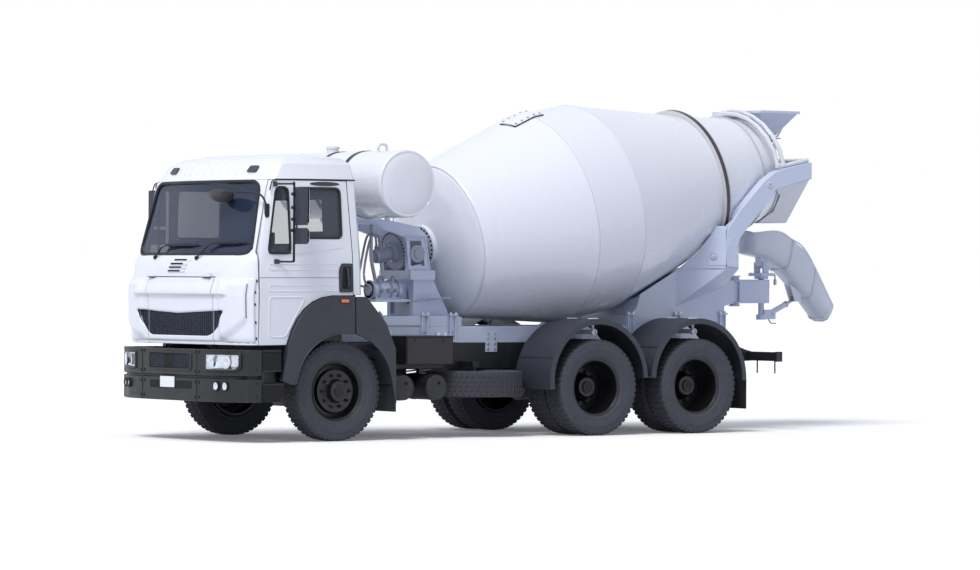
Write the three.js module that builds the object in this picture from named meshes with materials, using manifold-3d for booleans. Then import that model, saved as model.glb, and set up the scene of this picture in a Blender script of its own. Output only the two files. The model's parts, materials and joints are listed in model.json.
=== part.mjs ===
// Concrete mixer truck, 6x4, with a tilting cab, a revolving drum and a rear chute.
// Millimetres. +X is forward, +Y is the truck's left, +Z is up. The origin is on the
// ground below the middle of the truck's length, on its centre plane.
import * as THREE from "three";
import { ConvexGeometry } from "three/addons/geometries/ConvexGeometry.js";
import { mergeVertices } from "three/addons/utils/BufferGeometryUtils.js";
import Module from "manifold-3d";

const wasm = await Module();
wasm.setup();

// ---------------------------------------------------------------- driving dimensions
const GAP = 0.3; // between pieces that touch
const RUN = 6; // between pieces that move past each other

const FRONT_AXLE_X = 3065; // front axle ahead of the origin
const WHEELBASE = 3300; // front axle to first rear axle
const BOGIE_SPACING = 1380; // first to second rear axle

const TYRE_RADIUS = 522;
const TYRE_WIDTH = 280;
const TYRE_SEGMENTS = 20;
const RIM_RADIUS = 308;
const FRONT_TYRE_Y = 990; // middle of a front tyre
const DUAL_OUTER_Y = 1110; // middle of an outer rear tyre
const DUAL_SPACING = 345; // between the two tyres of a pair

const KINGPIN_Y = 880;
const KINGPIN_RADIUS = 25;

const RAIL_OUTER_Y = 430;
const RAIL_WIDTH = 80;
const RAIL_BOTTOM = 720;
const RAIL_TOP = 1000;
const RAIL_FRONT = -1120; // stations are millimetres behind the front axle
const RAIL_REAR = 5700;
const SUBFRAME_TOP = 1180;
const SUBFRAME_FRONT = 1000;

const CAB_WALL = 40;
const CAB_FLOOR_Z = 1290;
const DOOR_GAP = 6;
const DOOR_TOP = 2705;
const FLAP_HALF_WIDTH = 640;
const FLAP_TOP = 1700;

const BUMPER_FRONT = -1366;
const BUMPER_HALF_WIDTH = 1230;
const BUMPER_BOTTOM = 420;
const BUMPER_TOP = 960;

const DRUM_TILT = THREE.MathUtils.degToRad(11.23);
const DRUM_STATION = 3352; // where the cylindrical belly starts, on the drum's axis
const DRUM_AXIS_Z = 2352;
const DRUM_WALL = 20;
const DRUM_SEGMENTS = 32;
const BELLY_RADIUS = 1169;
const BELLY_LENGTH = 630;
const HEAD_LENGTH = 1328; // front cone, from the belly to the head's knuckle
const HEAD_RADIUS = 841;
const RING_ALONG = 2075; // roller ring, behind the belly's start
const RING_RADIUS = 862;
const RING_WIDTH = 76;
const BAND_ALONG = 2786;
const BAND_RADIUS = 648;
const MOUTH_ALONG = 3050;
const MOUTH_RADIUS = 584;
const DRUM_CLEARANCE = 25;

const ROLLER_RADIUS = 95;
const ROLLER_ANGLE = THREE.MathUtils.degToRad(36);

const ARM_INNER_Y = 720;
const ARM_OUTER_Y = 840;

const SWIVEL_STATION = 6585; // chute swivel, a vertical axis
const SWIVEL_RADIUS = 35;
const TILT_Z = 1860; // chute tilt, an axis across the truck through the swivel
const JACK_BASE = { station: 6710, z: 1300 };
const JACK_EYE = { station: 7090, z: 1470 };

const FRONT_AXLE_Z = TYRE_RADIUS;

// A station is a distance behind the front axle, as on a truck maker's drawing.
const at = (station) => FRONT_AXLE_X - station;
const REAR_STATIONS = [WHEELBASE, WHEELBASE + BOGIE_SPACING];

// ---------------------------------------------------------------- materials
const paint = (color, roughness = 0.4, metalness = 0.1) =>
  new THREE.MeshStandardMaterial({ color, roughness, metalness });
const WHITE = paint(0xf2f3f5, 0.25);
const GREY_PAINT = paint(0xb4b9cc, 0.45);
const CHASSIS_BLACK = paint(0x1d1e22, 0.55);
const PLASTIC = paint(0x34363b, 0.6, 0);
const RUBBER = paint(0x2b2c30, 0.9, 0);
const STEEL = paint(0xb9bcc2, 0.35, 0.9);
const GLASS = paint(0x2c2f4a, 0.1, 0);
const TRIM = paint(0x3a3b40, 0.8, 0);

// ---------------------------------------------------------------- solids
// A closed three.js geometry as a solid that can be joined and cut.
function solidOf(geometry) {
  const bare = geometry.clone();
  for (const name of Object.keys(bare.attributes)) {
    if (name !== "position") bare.deleteAttribute(name);
  }
  const merged = mergeVertices(bare, 1e-3);
  const vertProperties = new Float32Array(merged.attributes.position.array);
  const triVerts = new Uint32Array(merged.index.array);
  const build = () => new wasm.Manifold(new wasm.Mesh({ numProp: 3, vertProperties, triVerts }));
  const solid = build();
  if (solid.volume() > 0) return solid;
  for (let i = 0; i < triVerts.length; i += 3) {
    [triVerts[i], triVerts[i + 1]] = [triVerts[i + 1], triVerts[i]];
  }
  return build();
}

function geometryOf(solid) {
  const mesh = solid.getMesh();
  const geometry = new THREE.BufferGeometry();
  const positions = new Float32Array(mesh.numVert * 3);
  for (let i = 0; i < mesh.numVert; i++) {
    for (let k = 0; k < 3; k++) positions[3 * i + k] = mesh.vertProperties[mesh.numProp * i + k];
  }
  geometry.setAttribute("position", new THREE.BufferAttribute(positions, 3));
  geometry.setIndex(new THREE.BufferAttribute(new Uint32Array(mesh.triVerts), 1));
  geometry.computeVertexNormals();
  return geometry;
}

const fuse = (...solids) => solids.reduce((a, b) => a.add(b));
const cut = (solid, ...tools) => tools.reduce((a, b) => a.subtract(b), solid);

function box([x0, x1], [y0, y1], [z0, z1]) {
  const size = [Math.abs(x1 - x0), Math.abs(y1 - y0), Math.abs(z1 - z0)];
  const geometry = new THREE.BoxGeometry(...size);
  return solidOf(geometry.translate((x0 + x1) / 2, (y0 + y1) / 2, (z0 + z1) / 2));
}

// A box from its stations, front one first.
const block = (stations, ys, zs) => box([at(stations[1]), at(stations[0])], ys, zs);

function extruded(outline, depth, basis) {
  const shape = new THREE.Shape(outline.map(([a, b]) => new THREE.Vector2(a, b)));
  const geometry = new THREE.ExtrudeGeometry(shape, { depth, bevelEnabled: false });
  return solidOf(geometry.applyMatrix4(basis));
}

// An outline in stations and heights, extruded across the truck from y0 to y1.
function sidePlate(outline, y0, y1) {
  const low = Math.min(y0, y1);
  const basis = new THREE.Matrix4()
    .makeBasis(new THREE.Vector3(1, 0, 0), new THREE.Vector3(0, 0, 1), new THREE.Vector3(0, -1, 0))
    .setPosition(0, Math.max(y0, y1), 0);
  return extruded(outline.map(([s, z]) => [at(s), z]), Math.max(y0, y1) - low, basis);
}

// An outline in stations and y, extruded up from z0 to z1.
function planPlate(outline, z0, z1) {
  const basis = new THREE.Matrix4().setPosition(0, 0, z0);
  return extruded(outline.map(([s, y]) => [at(s), y]), z1 - z0, basis);
}

// An outline in y and z, extruded along X between two stations.
function crossPlate(outline, station0, station1) {
  const basis = new THREE.Matrix4()
    .makeBasis(new THREE.Vector3(0, 1, 0), new THREE.Vector3(0, 0, 1), new THREE.Vector3(1, 0, 0))
    .setPosition(at(station1), 0, 0);
  return extruded(outline, station1 - station0, basis);
}

const point = (station, y, z) => new THREE.Vector3(at(station), y, z);
const hull = (...points) => solidOf(new ConvexGeometry(points));

function rod(from, to, radius, segments = 12, endRadius = radius) {
  const along = to.clone().sub(from);
  const geometry = new THREE.CylinderGeometry(endRadius, radius, along.length(), segments);
  const turn = new THREE.Quaternion().setFromUnitVectors(
    new THREE.Vector3(0, 1, 0), along.clone().normalize());
  const middle = from.clone().add(to).multiplyScalar(0.5);
  return solidOf(geometry.applyQuaternion(turn).translate(middle.x, middle.y, middle.z));
}

// A bent tube through the points given.
function tube(points, radius, sides = 8, steps = 4) {
  const path = new THREE.CatmullRomCurve3(points, false, "centripetal");
  const section = new THREE.Shape();
  for (let i = 0; i < sides; i++) {
    const angle = (2 * Math.PI * i) / sides;
    const method = i === 0 ? "moveTo" : "lineTo";
    section[method](radius * Math.cos(angle), radius * Math.sin(angle));
  }
  section.closePath();
  const options = { extrudePath: path, steps: steps * (points.length - 1), bevelEnabled: false };
  return solidOf(new THREE.ExtrudeGeometry(section, options));
}

// A solid of revolution about the axis direction through the origin point: the profile is
// [along, radius] pairs from one end to the other. Its first and last points are on the axis,
// or it closes on itself.
function revolved(profile, origin, direction, segments) {
  const points = profile.map(([along, radius]) => new THREE.Vector2(radius, along));
  const geometry = new THREE.LatheGeometry(points, segments, Math.PI / segments);
  const turn = new THREE.Quaternion().setFromUnitVectors(
    new THREE.Vector3(0, 1, 0), direction.clone().normalize());
  const place = new THREE.Matrix4().compose(origin, turn, new THREE.Vector3(1, 1, 1));
  return solidOf(geometry.applyMatrix4(place));
}

// A closed skin over rings of points that all have the same count.
function loft(rings) {
  const count = rings[0].length;
  const positions = rings.flat().flatMap((p) => [p.x, p.y, p.z]);
  const index = [];
  for (let r = 0; r + 1 < rings.length; r++) {
    for (let i = 0; i < count; i++) {
      const a = r * count + i;
      const b = r * count + ((i + 1) % count);
      index.push(a, b, b + count, a, b + count, a + count);
    }
  }
  const last = (rings.length - 1) * count;
  for (let i = 1; i + 1 < count; i++) index.push(0, i + 1, i, last, last + i, last + i + 1);
  const geometry = new THREE.BufferGeometry();
  geometry.setAttribute("position", new THREE.BufferAttribute(new Float32Array(positions), 3));
  geometry.setIndex(index);
  return solidOf(geometry);
}

const mirrored = (solid) => solid.mirror([0, 1, 0]);

// The points of a circular arc in stations and heights, angles in degrees from straight up,
// positive towards the rear.
function arc(station, z, radius, from, to, steps) {
  return Array.from({ length: steps + 1 }, (_, i) => {
    const angle = THREE.MathUtils.degToRad(from + ((to - from) * i) / steps);
    return [station + radius * Math.sin(angle), z + radius * Math.cos(angle)];
  });
}

// ---------------------------------------------------------------- scene assembly
const truck = new THREE.Group();

function add(name, solid, material) {
  const mesh = new THREE.Mesh(geometryOf(solid), material);
  mesh.name = name;
  truck.add(mesh);
}

// The left piece as built, and its mirror image for the right.
function addPair(name, solid, material) {
  add(`${name}_left`, solid, material);
  add(`${name}_right`, mirrored(solid), material);
}

// ---------------------------------------------------------------- chassis
const RAIL_WEB = 12;
const RAIL_FLANGE = 16;

function frameRail() {
  const rail = block([RAIL_FRONT, RAIL_REAR], [RAIL_OUTER_Y - RAIL_WIDTH, RAIL_OUTER_Y],
    [RAIL_BOTTOM, RAIL_TOP]);
  const channel = block([RAIL_FRONT - 10, RAIL_REAR + 10],
    [RAIL_OUTER_Y - RAIL_WIDTH - 10, RAIL_OUTER_Y - RAIL_WEB],
    [RAIL_BOTTOM + RAIL_FLANGE, RAIL_TOP - RAIL_FLANGE]);
  return cut(rail, channel);
}

const SUBFRAME_WIDTH = 80;
const subframeRail = () => block([SUBFRAME_FRONT, RAIL_REAR],
  [RAIL_OUTER_Y - SUBFRAME_WIDTH, RAIL_OUTER_Y], [RAIL_TOP + GAP, SUBFRAME_TOP]);

const UNDERRUN = { front: 5900, rear: 5980, bottom: 780, top: 880, halfWidth: 1120 };

// The last crossmember, with the two hangers and the bar of the rear underrun guard.
function rearCrossmember() {
  const inner = RAIL_OUTER_Y - RAIL_WEB - GAP;
  const beam = block([5480, 5620], [-inner, inner],
    [RAIL_BOTTOM + RAIL_FLANGE + GAP, RAIL_TOP - RAIL_FLANGE - GAP]);
  const bar = block([UNDERRUN.front, UNDERRUN.rear], [-UNDERRUN.halfWidth, UNDERRUN.halfWidth],
    [UNDERRUN.bottom, UNDERRUN.top]);
  const outline = [[5480, 800], [5480, 960], [5640, 960], [UNDERRUN.rear - 10, 870],
    [UNDERRUN.rear - 10, 790], [5640, 800]];
  const hanger = sidePlate(outline, 280, 330);
  return fuse(beam, bar, hanger, mirrored(hanger));
}

const GEARBOX_END = 1240;
const PROPSHAFT_Z = 600;
const PINION_LENGTH = 300;

// One plain block for engine and gearbox, hung between the rails.
function engine() {
  const side = RAIL_OUTER_Y - RAIL_WIDTH - GAP;
  const body = block([-800, 560], [-side, side], [630, 1225]);
  const gearbox = block([560, GEARBOX_END], [-230, 230], [PROPSHAFT_Z - 70, 960]);
  const support = block([1080, 1160], [-side, side], [780, 880]);
  return fuse(body, gearbox, support);
}

const PROPSHAFT_RADIUS = 60;
function propshaft() {
  return rod(point(GEARBOX_END + GAP, 0, PROPSHAFT_Z),
    point(REAR_STATIONS[0] - PINION_LENGTH - GAP, 0, PROPSHAFT_Z), PROPSHAFT_RADIUS, 10);
}

// ---------------------------------------------------------------- axles
const EYE_RADIUS = 65;
const EYE_BOTTOM = FRONT_AXLE_Z - 66;
const EYE_TOP = FRONT_AXLE_Z + 66;

// A front beam axle with a kingpin eye at each end, and the two leaf springs that carry it.
function frontAxle() {
  const eye = cut(
    rod(point(0, KINGPIN_Y, EYE_BOTTOM), point(0, KINGPIN_Y, EYE_TOP), EYE_RADIUS, 16),
    rod(point(0, KINGPIN_Y, EYE_BOTTOM - 10), point(0, KINGPIN_Y, EYE_TOP + 10),
      KINGPIN_RADIUS + RUN - 1, 12));
  const beamOutline = [[-330, 430], [-560, EYE_BOTTOM], [-(KINGPIN_Y - 50), EYE_BOTTOM],
    [-(KINGPIN_Y - 50), EYE_TOP], [-450, EYE_TOP], [-300, 530]];
  const across = beamOutline.concat(beamOutline.map(([y, z]) => [-y, z]).reverse());
  const beam = crossPlate(across, -48, 48);
  const seatZ = RAIL_BOTTOM - GAP;
  const springOutline = [[-770, seatZ], [-690, seatZ], [-350, 655], [0, 635], [350, 655],
    [690, seatZ], [770, seatZ], [770, 690], [350, 600], [0, 572], [-350, 600], [-770, 690]];
  const spring = sidePlate(springOutline, RAIL_OUTER_Y - 75, RAIL_OUTER_Y - 5);
  const seat = block([-60, 60], [RAIL_OUTER_Y - 75, RAIL_OUTER_Y - 5], [EYE_TOP - 60, 640]);
  return fuse(beam, eye, mirrored(eye), spring, mirrored(spring), seat, mirrored(seat));
}

const YOKE_PLATE = 30;
const SPINDLE_END_Y = 1030;

// The steering knuckle: a yoke round the kingpin eye, its kingpin and the wheel's spindle.
function knuckle() {
  const top = EYE_TOP + RUN;
  const bottom = EYE_BOTTOM - RUN;
  const plateY = KINGPIN_Y + EYE_RADIUS + RUN;
  const plate = (z) => fuse(
    rod(point(0, KINGPIN_Y, z), point(0, KINGPIN_Y, z + YOKE_PLATE), 58, 14),
    block([-58, 58], [KINGPIN_Y, plateY + 25], [z, z + YOKE_PLATE]));
  const pin = rod(point(0, KINGPIN_Y, bottom - 10), point(0, KINGPIN_Y, top + 10),
    KINGPIN_RADIUS, 12);
  const back = block([-90, 90], [plateY, plateY + 25], [bottom - YOKE_PLATE, top + YOKE_PLATE]);
  const spindle = rod(point(0, plateY + 20, FRONT_AXLE_Z),
    point(0, SPINDLE_END_Y - GAP, FRONT_AXLE_Z), 60, 14);
  return fuse(plate(top), plate(bottom - YOKE_PLATE), pin, back, spindle);
}

const REAR_AXLE_Z = TYRE_RADIUS;
const REAR_HUB_Y = 585; // where a rear wheel's drum meets the axle's end

// Two driven axles on a pair of leaf springs that rock on a cross shaft between them.
function rearBogie() {
  const middle = (REAR_STATIONS[0] + REAR_STATIONS[1]) / 2;
  const parts = [];
  for (const station of REAR_STATIONS) {
    const end = REAR_HUB_Y - RUN;
    parts.push(rod(point(station, -end, REAR_AXLE_Z), point(station, end, REAR_AXLE_Z), 75, 10));
    parts.push(rod(point(station - 190, 0, REAR_AXLE_Z + 20),
      point(station + 190, 0, REAR_AXLE_Z + 20), 190, 12, 150));
    parts.push(rod(point(station - PINION_LENGTH, 0, PROPSHAFT_Z),
      point(station - 100, 0, PROPSHAFT_Z), 70, 8));
  }
  parts.push(rod(point(REAR_STATIONS[0], 0, PROPSHAFT_Z),
    point(REAR_STATIONS[1], 0, PROPSHAFT_Z), 55, 8));
  const outline = [[middle - BOGIE_SPACING / 2 - 110, 600], [middle - BOGIE_SPACING / 2 + 90, 625],
    [middle - 90, RAIL_BOTTOM - GAP], [middle + 90, RAIL_BOTTOM - GAP],
    [middle + BOGIE_SPACING / 2 - 90, 625], [middle + BOGIE_SPACING / 2 + 110, 600],
    [middle + BOGIE_SPACING / 2 + 110, 560], [middle + 120, 560], [middle + 90, 470],
    [middle - 90, 470], [middle - 120, 560], [middle - BOGIE_SPACING / 2 - 110, 560]];
  const spring = sidePlate(outline, RAIL_OUTER_Y - 75, RAIL_OUTER_Y + 5);
  parts.push(spring, mirrored(spring));
  parts.push(rod(point(middle, -RAIL_OUTER_Y, 520), point(middle, RAIL_OUTER_Y, 520), 55, 8));
  return fuse(...parts);
}

// ---------------------------------------------------------------- wheels
// A tyre's section: [across, radius] from one bead round the tread to the other. The polygon
// of the tread is drawn round the tyre's circle, so that a flat of it meets the ground.
function tyreProfile(middle) {
  const half = TYRE_WIDTH / 2;
  const grow = 1 / Math.cos(Math.PI / TYRE_SEGMENTS);
  const side = [[half * 0.84, TYRE_RADIUS * grow], [half, 420], [half * 0.78, RIM_RADIUS]];
  return [...side.map(([y, r]) => [middle - y, r]).reverse(), ...side.map(([y, r]) => [middle + y, r])];
}

const acrossTruck = new THREE.Vector3(0, 1, 0);
const wheelPoint = (station) => point(station, 0, TYRE_RADIUS);

const closed = (profile) => [...profile, profile[0]];
const turnedWheel = (profile, station) =>
  revolved(profile, wheelPoint(station), acrossTruck, TYRE_SEGMENTS);

const frontTyre = (station) => turnedWheel(closed(tyreProfile(FRONT_TYRE_Y)), station);

// Two tyres on one wheel, with the spacer band that keeps them apart.
const SPACER_RADIUS = 322;
function dualTyres(station) {
  const inner = tyreProfile(DUAL_OUTER_Y - DUAL_SPACING);
  const outer = tyreProfile(DUAL_OUTER_Y);
  inner.at(-1)[1] = SPACER_RADIUS;
  outer[0][1] = SPACER_RADIUS;
  return turnedWheel(closed([...inner, ...outer]), station);
}

const RIM_THICK = 16;

// A front wheel: its disc is near the outer edge and its barrel runs inwards over the brake.
function frontRim(station) {
  const r = RIM_RADIUS - GAP;
  const outer = FRONT_TYRE_Y + 125;
  const inner = FRONT_TYRE_Y - 120;
  const disc = SPINDLE_END_Y;
  const profile = [[disc, 0], [disc, 150], [disc - 20, r - RIM_THICK], [inner, r - RIM_THICK],
    [inner, r], [outer, r], [outer, r - RIM_THICK], [disc + 44, 235], [disc + 30, 110],
    [disc + 90, 95], [disc + 90, 0]];
  return turnedWheel(profile, station);
}

// A twin rear wheel: a dished disc between the tyres, a long barrel and a projecting hub.
function rearRim(station) {
  const r = RIM_RADIUS - GAP;
  const outer = DUAL_OUTER_Y + 125;
  const inner = DUAL_OUTER_Y - DUAL_SPACING - 125;
  const disc = DUAL_OUTER_Y - DUAL_SPACING / 2 - 15;
  const profile = [[REAR_HUB_Y, 0], [REAR_HUB_Y, 205], [disc, 200], [disc, r - RIM_THICK],
    [inner, r - RIM_THICK], [inner, r], [outer, r], [outer, r - RIM_THICK],
    [disc + 30, r - RIM_THICK], [disc + 60, 165], [disc + 190, 120], [disc + 190, 0]];
  return turnedWheel(profile, station);
}

// ---------------------------------------------------------------- front of the chassis
// Bumper in plan: a straight middle, corners swept back, and its carrier on the rails.
function bumperOutline(inset) {
  const side = BUMPER_HALF_WIDTH - inset;
  const front = BUMPER_FRONT + inset;
  const half = [[front, 0], [front, 540], [front + 32, 840], [front + 92, 1040],
    [front + 186, side - 50], [-1180 + inset, side], [-1007, side]];
  return [...half.map(([s, y]) => [s, -y]).reverse(), ...half.slice(1)];
}

const STEP = { front: -1007, rear: -770, innerY: 960, outerY: 1222 };

function frontBumper() {
  const wall = 70;
  const skin = planPlate([...bumperOutline(0), ...bumperOutline(wall).reverse()],
    BUMPER_BOTTOM, BUMPER_TOP);
  const grooveOutline = [...bumperOutline(-20), ...bumperOutline(22).reverse()];
  const groove = planPlate(grooveOutline, 662, 686);
  const carrier = block([BUMPER_FRONT + wall - 5, RAIL_FRONT - GAP], [-RAIL_OUTER_Y, RAIL_OUTER_Y],
    [RAIL_BOTTOM + 10, BUMPER_TOP - 20]);
  const step = block([STEP.front - 20, STEP.rear], [STEP.innerY, STEP.outerY],
    [BUMPER_BOTTOM, BUMPER_TOP]);
  const tread = block([STEP.front + 30, STEP.rear + 20], [1120, STEP.outerY + 20], [600, 740]);
  const upright = cut(step, tread);
  return fuse(cut(skin, groove), carrier, upright, mirrored(upright));
}

// ---------------------------------------------------------------- cab
// One half of the cab's plan outline at a height, rear to front. side is the half width, knee
// the station where the front corner starts to curve, nose its end and front the middle of the
// front face.
const CAB_LEVELS = [
  { z: 1005, rear: 235, side: 1192, knee: -1040, nose: -1198, front: -1250 },
  { z: 1510, rear: 260, side: 1200, knee: -1040, nose: -1206, front: -1262 },
  { z: 1850, rear: 254, side: 1196, knee: -990, nose: -1170, front: -1255 },
  { z: 1950, rear: 250, side: 1192, knee: -960, nose: -1100, front: -1190 },
  { z: 2700, rear: 205, side: 1150, knee: -790, nose: -905, front: -990 },
  { z: 2880, rear: 185, side: 1100, knee: -660, nose: -775, front: -855 },
  { z: 2945, rear: 150, side: 990, knee: -560, nose: -650, front: -735 },
  { z: 2985, rear: -40, side: 760, knee: -400, nose: -460, front: -520 },
];
const CORNER_WIDTH = 320;
const CORNER_STEPS = 4;

function cabRing(level, inset, z = level.z) {
  const side = level.side - inset;
  const nose = level.nose + inset;
  const half = [[level.rear - inset, 0], [level.rear - inset, side - 45],
    [level.rear - inset - 45, side]];
  for (let i = 0; i <= CORNER_STEPS; i++) {
    const angle = (Math.PI / 2) * (i / CORNER_STEPS);
    half.push([level.knee + (nose - level.knee) * Math.sin(angle),
      side - CORNER_WIDTH + CORNER_WIDTH * Math.cos(angle)]);
  }
  half.push([level.front + inset + 8, (side - CORNER_WIDTH) * 0.45]);
  half.push([level.front + inset, 0]);
  const mirror = half.slice(1, -1).map(([s, y]) => [s, -y]).reverse();
  return [...half, ...mirror].map(([s, y]) => point(s, y, z)).reverse();
}

// The cab's outer shape moved in by an inset. An open one runs out below the cab.
function cabBody(inset, open) {
  const rings = CAB_LEVELS.map((level) => cabRing(level, inset));
  if (open) {
    rings.unshift(cabRing(CAB_LEVELS[0], inset, 800));
    rings[rings.length - 1] = cabRing(CAB_LEVELS.at(-1), inset, CAB_LEVELS.at(-1).z - inset);
  }
  return loft(rings);
}

// The top edge of a wheel-arch flare, which is also the door's lower edge, moved up by an
// offset: the points run from the front foot of the arch to its flat top.
function flareCurve(offset) {
  const curve = new THREE.QuadraticBezierCurve(
    new THREE.Vector2(-685 - offset, 1005 + offset * 0.4),
    new THREE.Vector2(-545 - offset, 1490 + offset), new THREE.Vector2(-130, 1510 + offset));
  return curve.getPoints(6).map((p) => [p.x, p.y]);
}

const DOOR_FRONT = -1025;
const DOOR_REAR = 130;

const doorOutline = () => [[DOOR_FRONT, 1005], ...flareCurve(DOOR_GAP), [DOOR_REAR, 1510 + DOOR_GAP],
  [DOOR_REAR - 8, 1960], [70, DOOR_TOP], [-845, DOOR_TOP], [-873, 2610], [DOOR_FRONT + 15, 1970]];

const DOOR_WINDOW = [[-905, 1945], [-620, 1945], [-600, 2085], [-40, 2105], [-5, 2140],
  [-15, 2590], [-50, 2620], [-790, 2620], [-815, 2590]];

const WINDSHIELD = { bottom: 1945, top: 2690, bottomHalf: 1100, topHalf: 1000, corner: 50 };

function windshieldOutline(inset) {
  const { bottom, top, bottomHalf, topHalf, corner } = WINDSHIELD;
  const half = [[bottomHalf - inset - corner, bottom + inset],
    [bottomHalf - inset, bottom + inset + corner], [topHalf - inset, top - inset - corner],
    [topHalf - inset - corner, top - inset]];
  return [...half, ...half.map(([y, z]) => [-y, z]).reverse()];
}

const windshieldCutter = (inset) => crossPlate(windshieldOutline(inset), -1400, -500);

// The door's outline seen from the side, moved out by the door gap, closes on the front piece
// in front of it and on the back wall behind it.
const frontRegion = () => sidePlate([[DOOR_FRONT - DOOR_GAP, 900], [DOOR_FRONT - DOOR_GAP, 1970],
  [-873 - DOOR_GAP, 2613], [-845 - DOOR_GAP, DOOR_TOP + 5 - GAP], [-1500, DOOR_TOP + 5 - GAP],
  [-1500, 900]], -1400, 1400);
const backRegion = () => sidePlate([[DOOR_REAR + DOOR_GAP, 1520], [DOOR_REAR + DOOR_GAP - 8, 1960],
  [70 + DOOR_GAP, DOOR_TOP + 5 - GAP], [500, DOOR_TOP + 5 - GAP], [500, 1520]], -1400, 1400);
const flapRegion = (grow) => box([at(-950), at(-1500)],
  [-FLAP_HALF_WIDTH - grow, FLAP_HALF_WIDTH + grow], [900, FLAP_TOP + grow]);

const REAR_WINDOW = { halfWidth: 520, bottom: 2060, top: 2520 };
const rearWindowCutter = () => block([100, 400],
  [-REAR_WINDOW.halfWidth, REAR_WINDOW.halfWidth], [REAR_WINDOW.bottom, REAR_WINDOW.top]);

function buildCab() {
  const shell = cut(cabBody(0, false), cabBody(CAB_WALL, true));
  const glassSkin = cut(cabBody(12, false), cabBody(20, true));
  add("cab_front", cut(shell.intersect(frontRegion()), flapRegion(DOOR_GAP), windshieldCutter(0)),
    WHITE);
  add("front_flap", shell.intersect(flapRegion(0)), WHITE);
  add("cab_back", cut(shell.intersect(backRegion()), rearWindowCutter()), WHITE);
  add("cab_roof", shell.intersect(block([-1500, 600], [-1400, 1400], [DOOR_TOP + 5, 3200])), WHITE);
  add("windshield", glassSkin.intersect(windshieldCutter(1)), GLASS);

  const doorCutter = sidePlate(doorOutline(), 900, 1400);
  const windowCutter = sidePlate(DOOR_WINDOW, 900, 1400);
  const paneCutter = sidePlate(inwards(DOOR_WINDOW, GAP), 900, 1400);
  addPair("door", cut(shell.intersect(doorCutter), windowCutter), WHITE);
  addPair("door_glass", glassSkin.intersect(paneCutter), GLASS);
}

// An outline with every edge moved inwards by an amount.
function inwards(outline, amount) {
  const count = outline.length;
  const area = outline.reduce((sum, [x, y], i) => {
    const [nx, ny] = outline[(i + 1) % count];
    return sum + x * ny - nx * y;
  }, 0);
  const shift = amount * Math.sign(area);
  const normal = (p, q) => {
    const length = Math.hypot(q[0] - p[0], q[1] - p[1]);
    return [(p[1] - q[1]) / length, (q[0] - p[0]) / length];
  };
  return outline.map((p, i) => {
    const a = normal(outline[(i + count - 1) % count], p);
    const b = normal(p, outline[(i + 1) % count]);
    const scale = shift / (1 + a[0] * b[0] + a[1] * b[1]);
    return [p[0] + (a[0] + b[0]) * scale, p[1] + (a[1] + b[1]) * scale];
  });
}

// The floor pan, its rear riser, and the sills inside the wheel-arch flares.
const FLARE_INNER_Y = 1165;
const FLARE_OUTER_Y = 1240;

// What is left of a solid inside the cab's walls, kept clear of the front flap.
function insideCab(solid) {
  const flapZone = cut(flapRegion(DOOR_GAP), cabBody(CAB_WALL + RUN, true));
  return cut(solid.intersect(cabBody(CAB_WALL + GAP, true)), flapZone);
}

function cabFloor() {
  const top = CAB_FLOOR_Z + 40;
  const pan = block([-1200, 215], [-1150, 1150], [CAB_FLOOR_Z, top]);
  const sill = block([-500, 120], [1100, FLARE_INNER_Y - GAP], [CAB_FLOOR_Z, top]);
  const riser = block([175, 215], [-1150, 1150], [CAB_FLOOR_Z, 1520 - GAP]);
  return fuse(insideCab(fuse(pan, riser)), sill, mirrored(sill));
}

function flare() {
  const inner = arc(0, TYRE_RADIUS, 605, -83, 13, 10);
  const outline = [[-760, 645], ...flareCurve(0), [DOOR_REAR + 5, 1510],
    ...inner.slice().reverse(), [-640, 600]];
  return sidePlate(outline, FLARE_INNER_Y, FLARE_OUTER_Y);
}

// Dashboard, steering wheel, engine hump and two seats, all standing on the floor pan.
function cabInterior() {
  const floor = CAB_FLOOR_Z + 40 + GAP;
  const hump = block([-640, 150], [-280, 280], [floor, 1480]);
  const dash = block([-1080, -800], [-1090, 1090], [1500, 1860]);
  const post = block([-1060, -980], [-200, 200], [floor, 1560]);
  const bridge = block([-1000, -600], [-200, 200], [floor, 1400]);
  const seat = (y) => fuse(block([-420, 70], [y - 250, y + 250], [floor, 1560]),
    hull(...[[50, 1500], [150, 1500], [20, 1560], [150, 2180], [60, 2180]]
      .flatMap(([s, z]) => [point(s, y - 240, z), point(s, y + 240, z)])));
  const wheelY = 520;
  const hub = point(-690, wheelY, 1850);
  const lean = new THREE.Vector3(-0.6, 0, 0.8);
  const rim = revolved([[0, 200], [12, 212], [24, 200], [12, 188], [0, 200]], hub, lean, 20);
  const spokes = [-1, 1].map((way) => rod(hub.clone().addScaledVector(lean, 12),
    hub.clone().addScaledVector(lean, 12).add(new THREE.Vector3(0, way * 195, 0)), 12, 8));
  const column = rod(hub.clone().addScaledVector(lean, 16), point(-850, wheelY, 1640), 25, 10);
  const seatBase = block([-300, 20], [-560, 560], [floor, 1400]);
  return fuse(hump, dash, post, bridge, seatBase, seat(560), seat(-560), rim, ...spokes, column);
}

const MIRROR_TUBE = { station: -690, y: 1330 };

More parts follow.
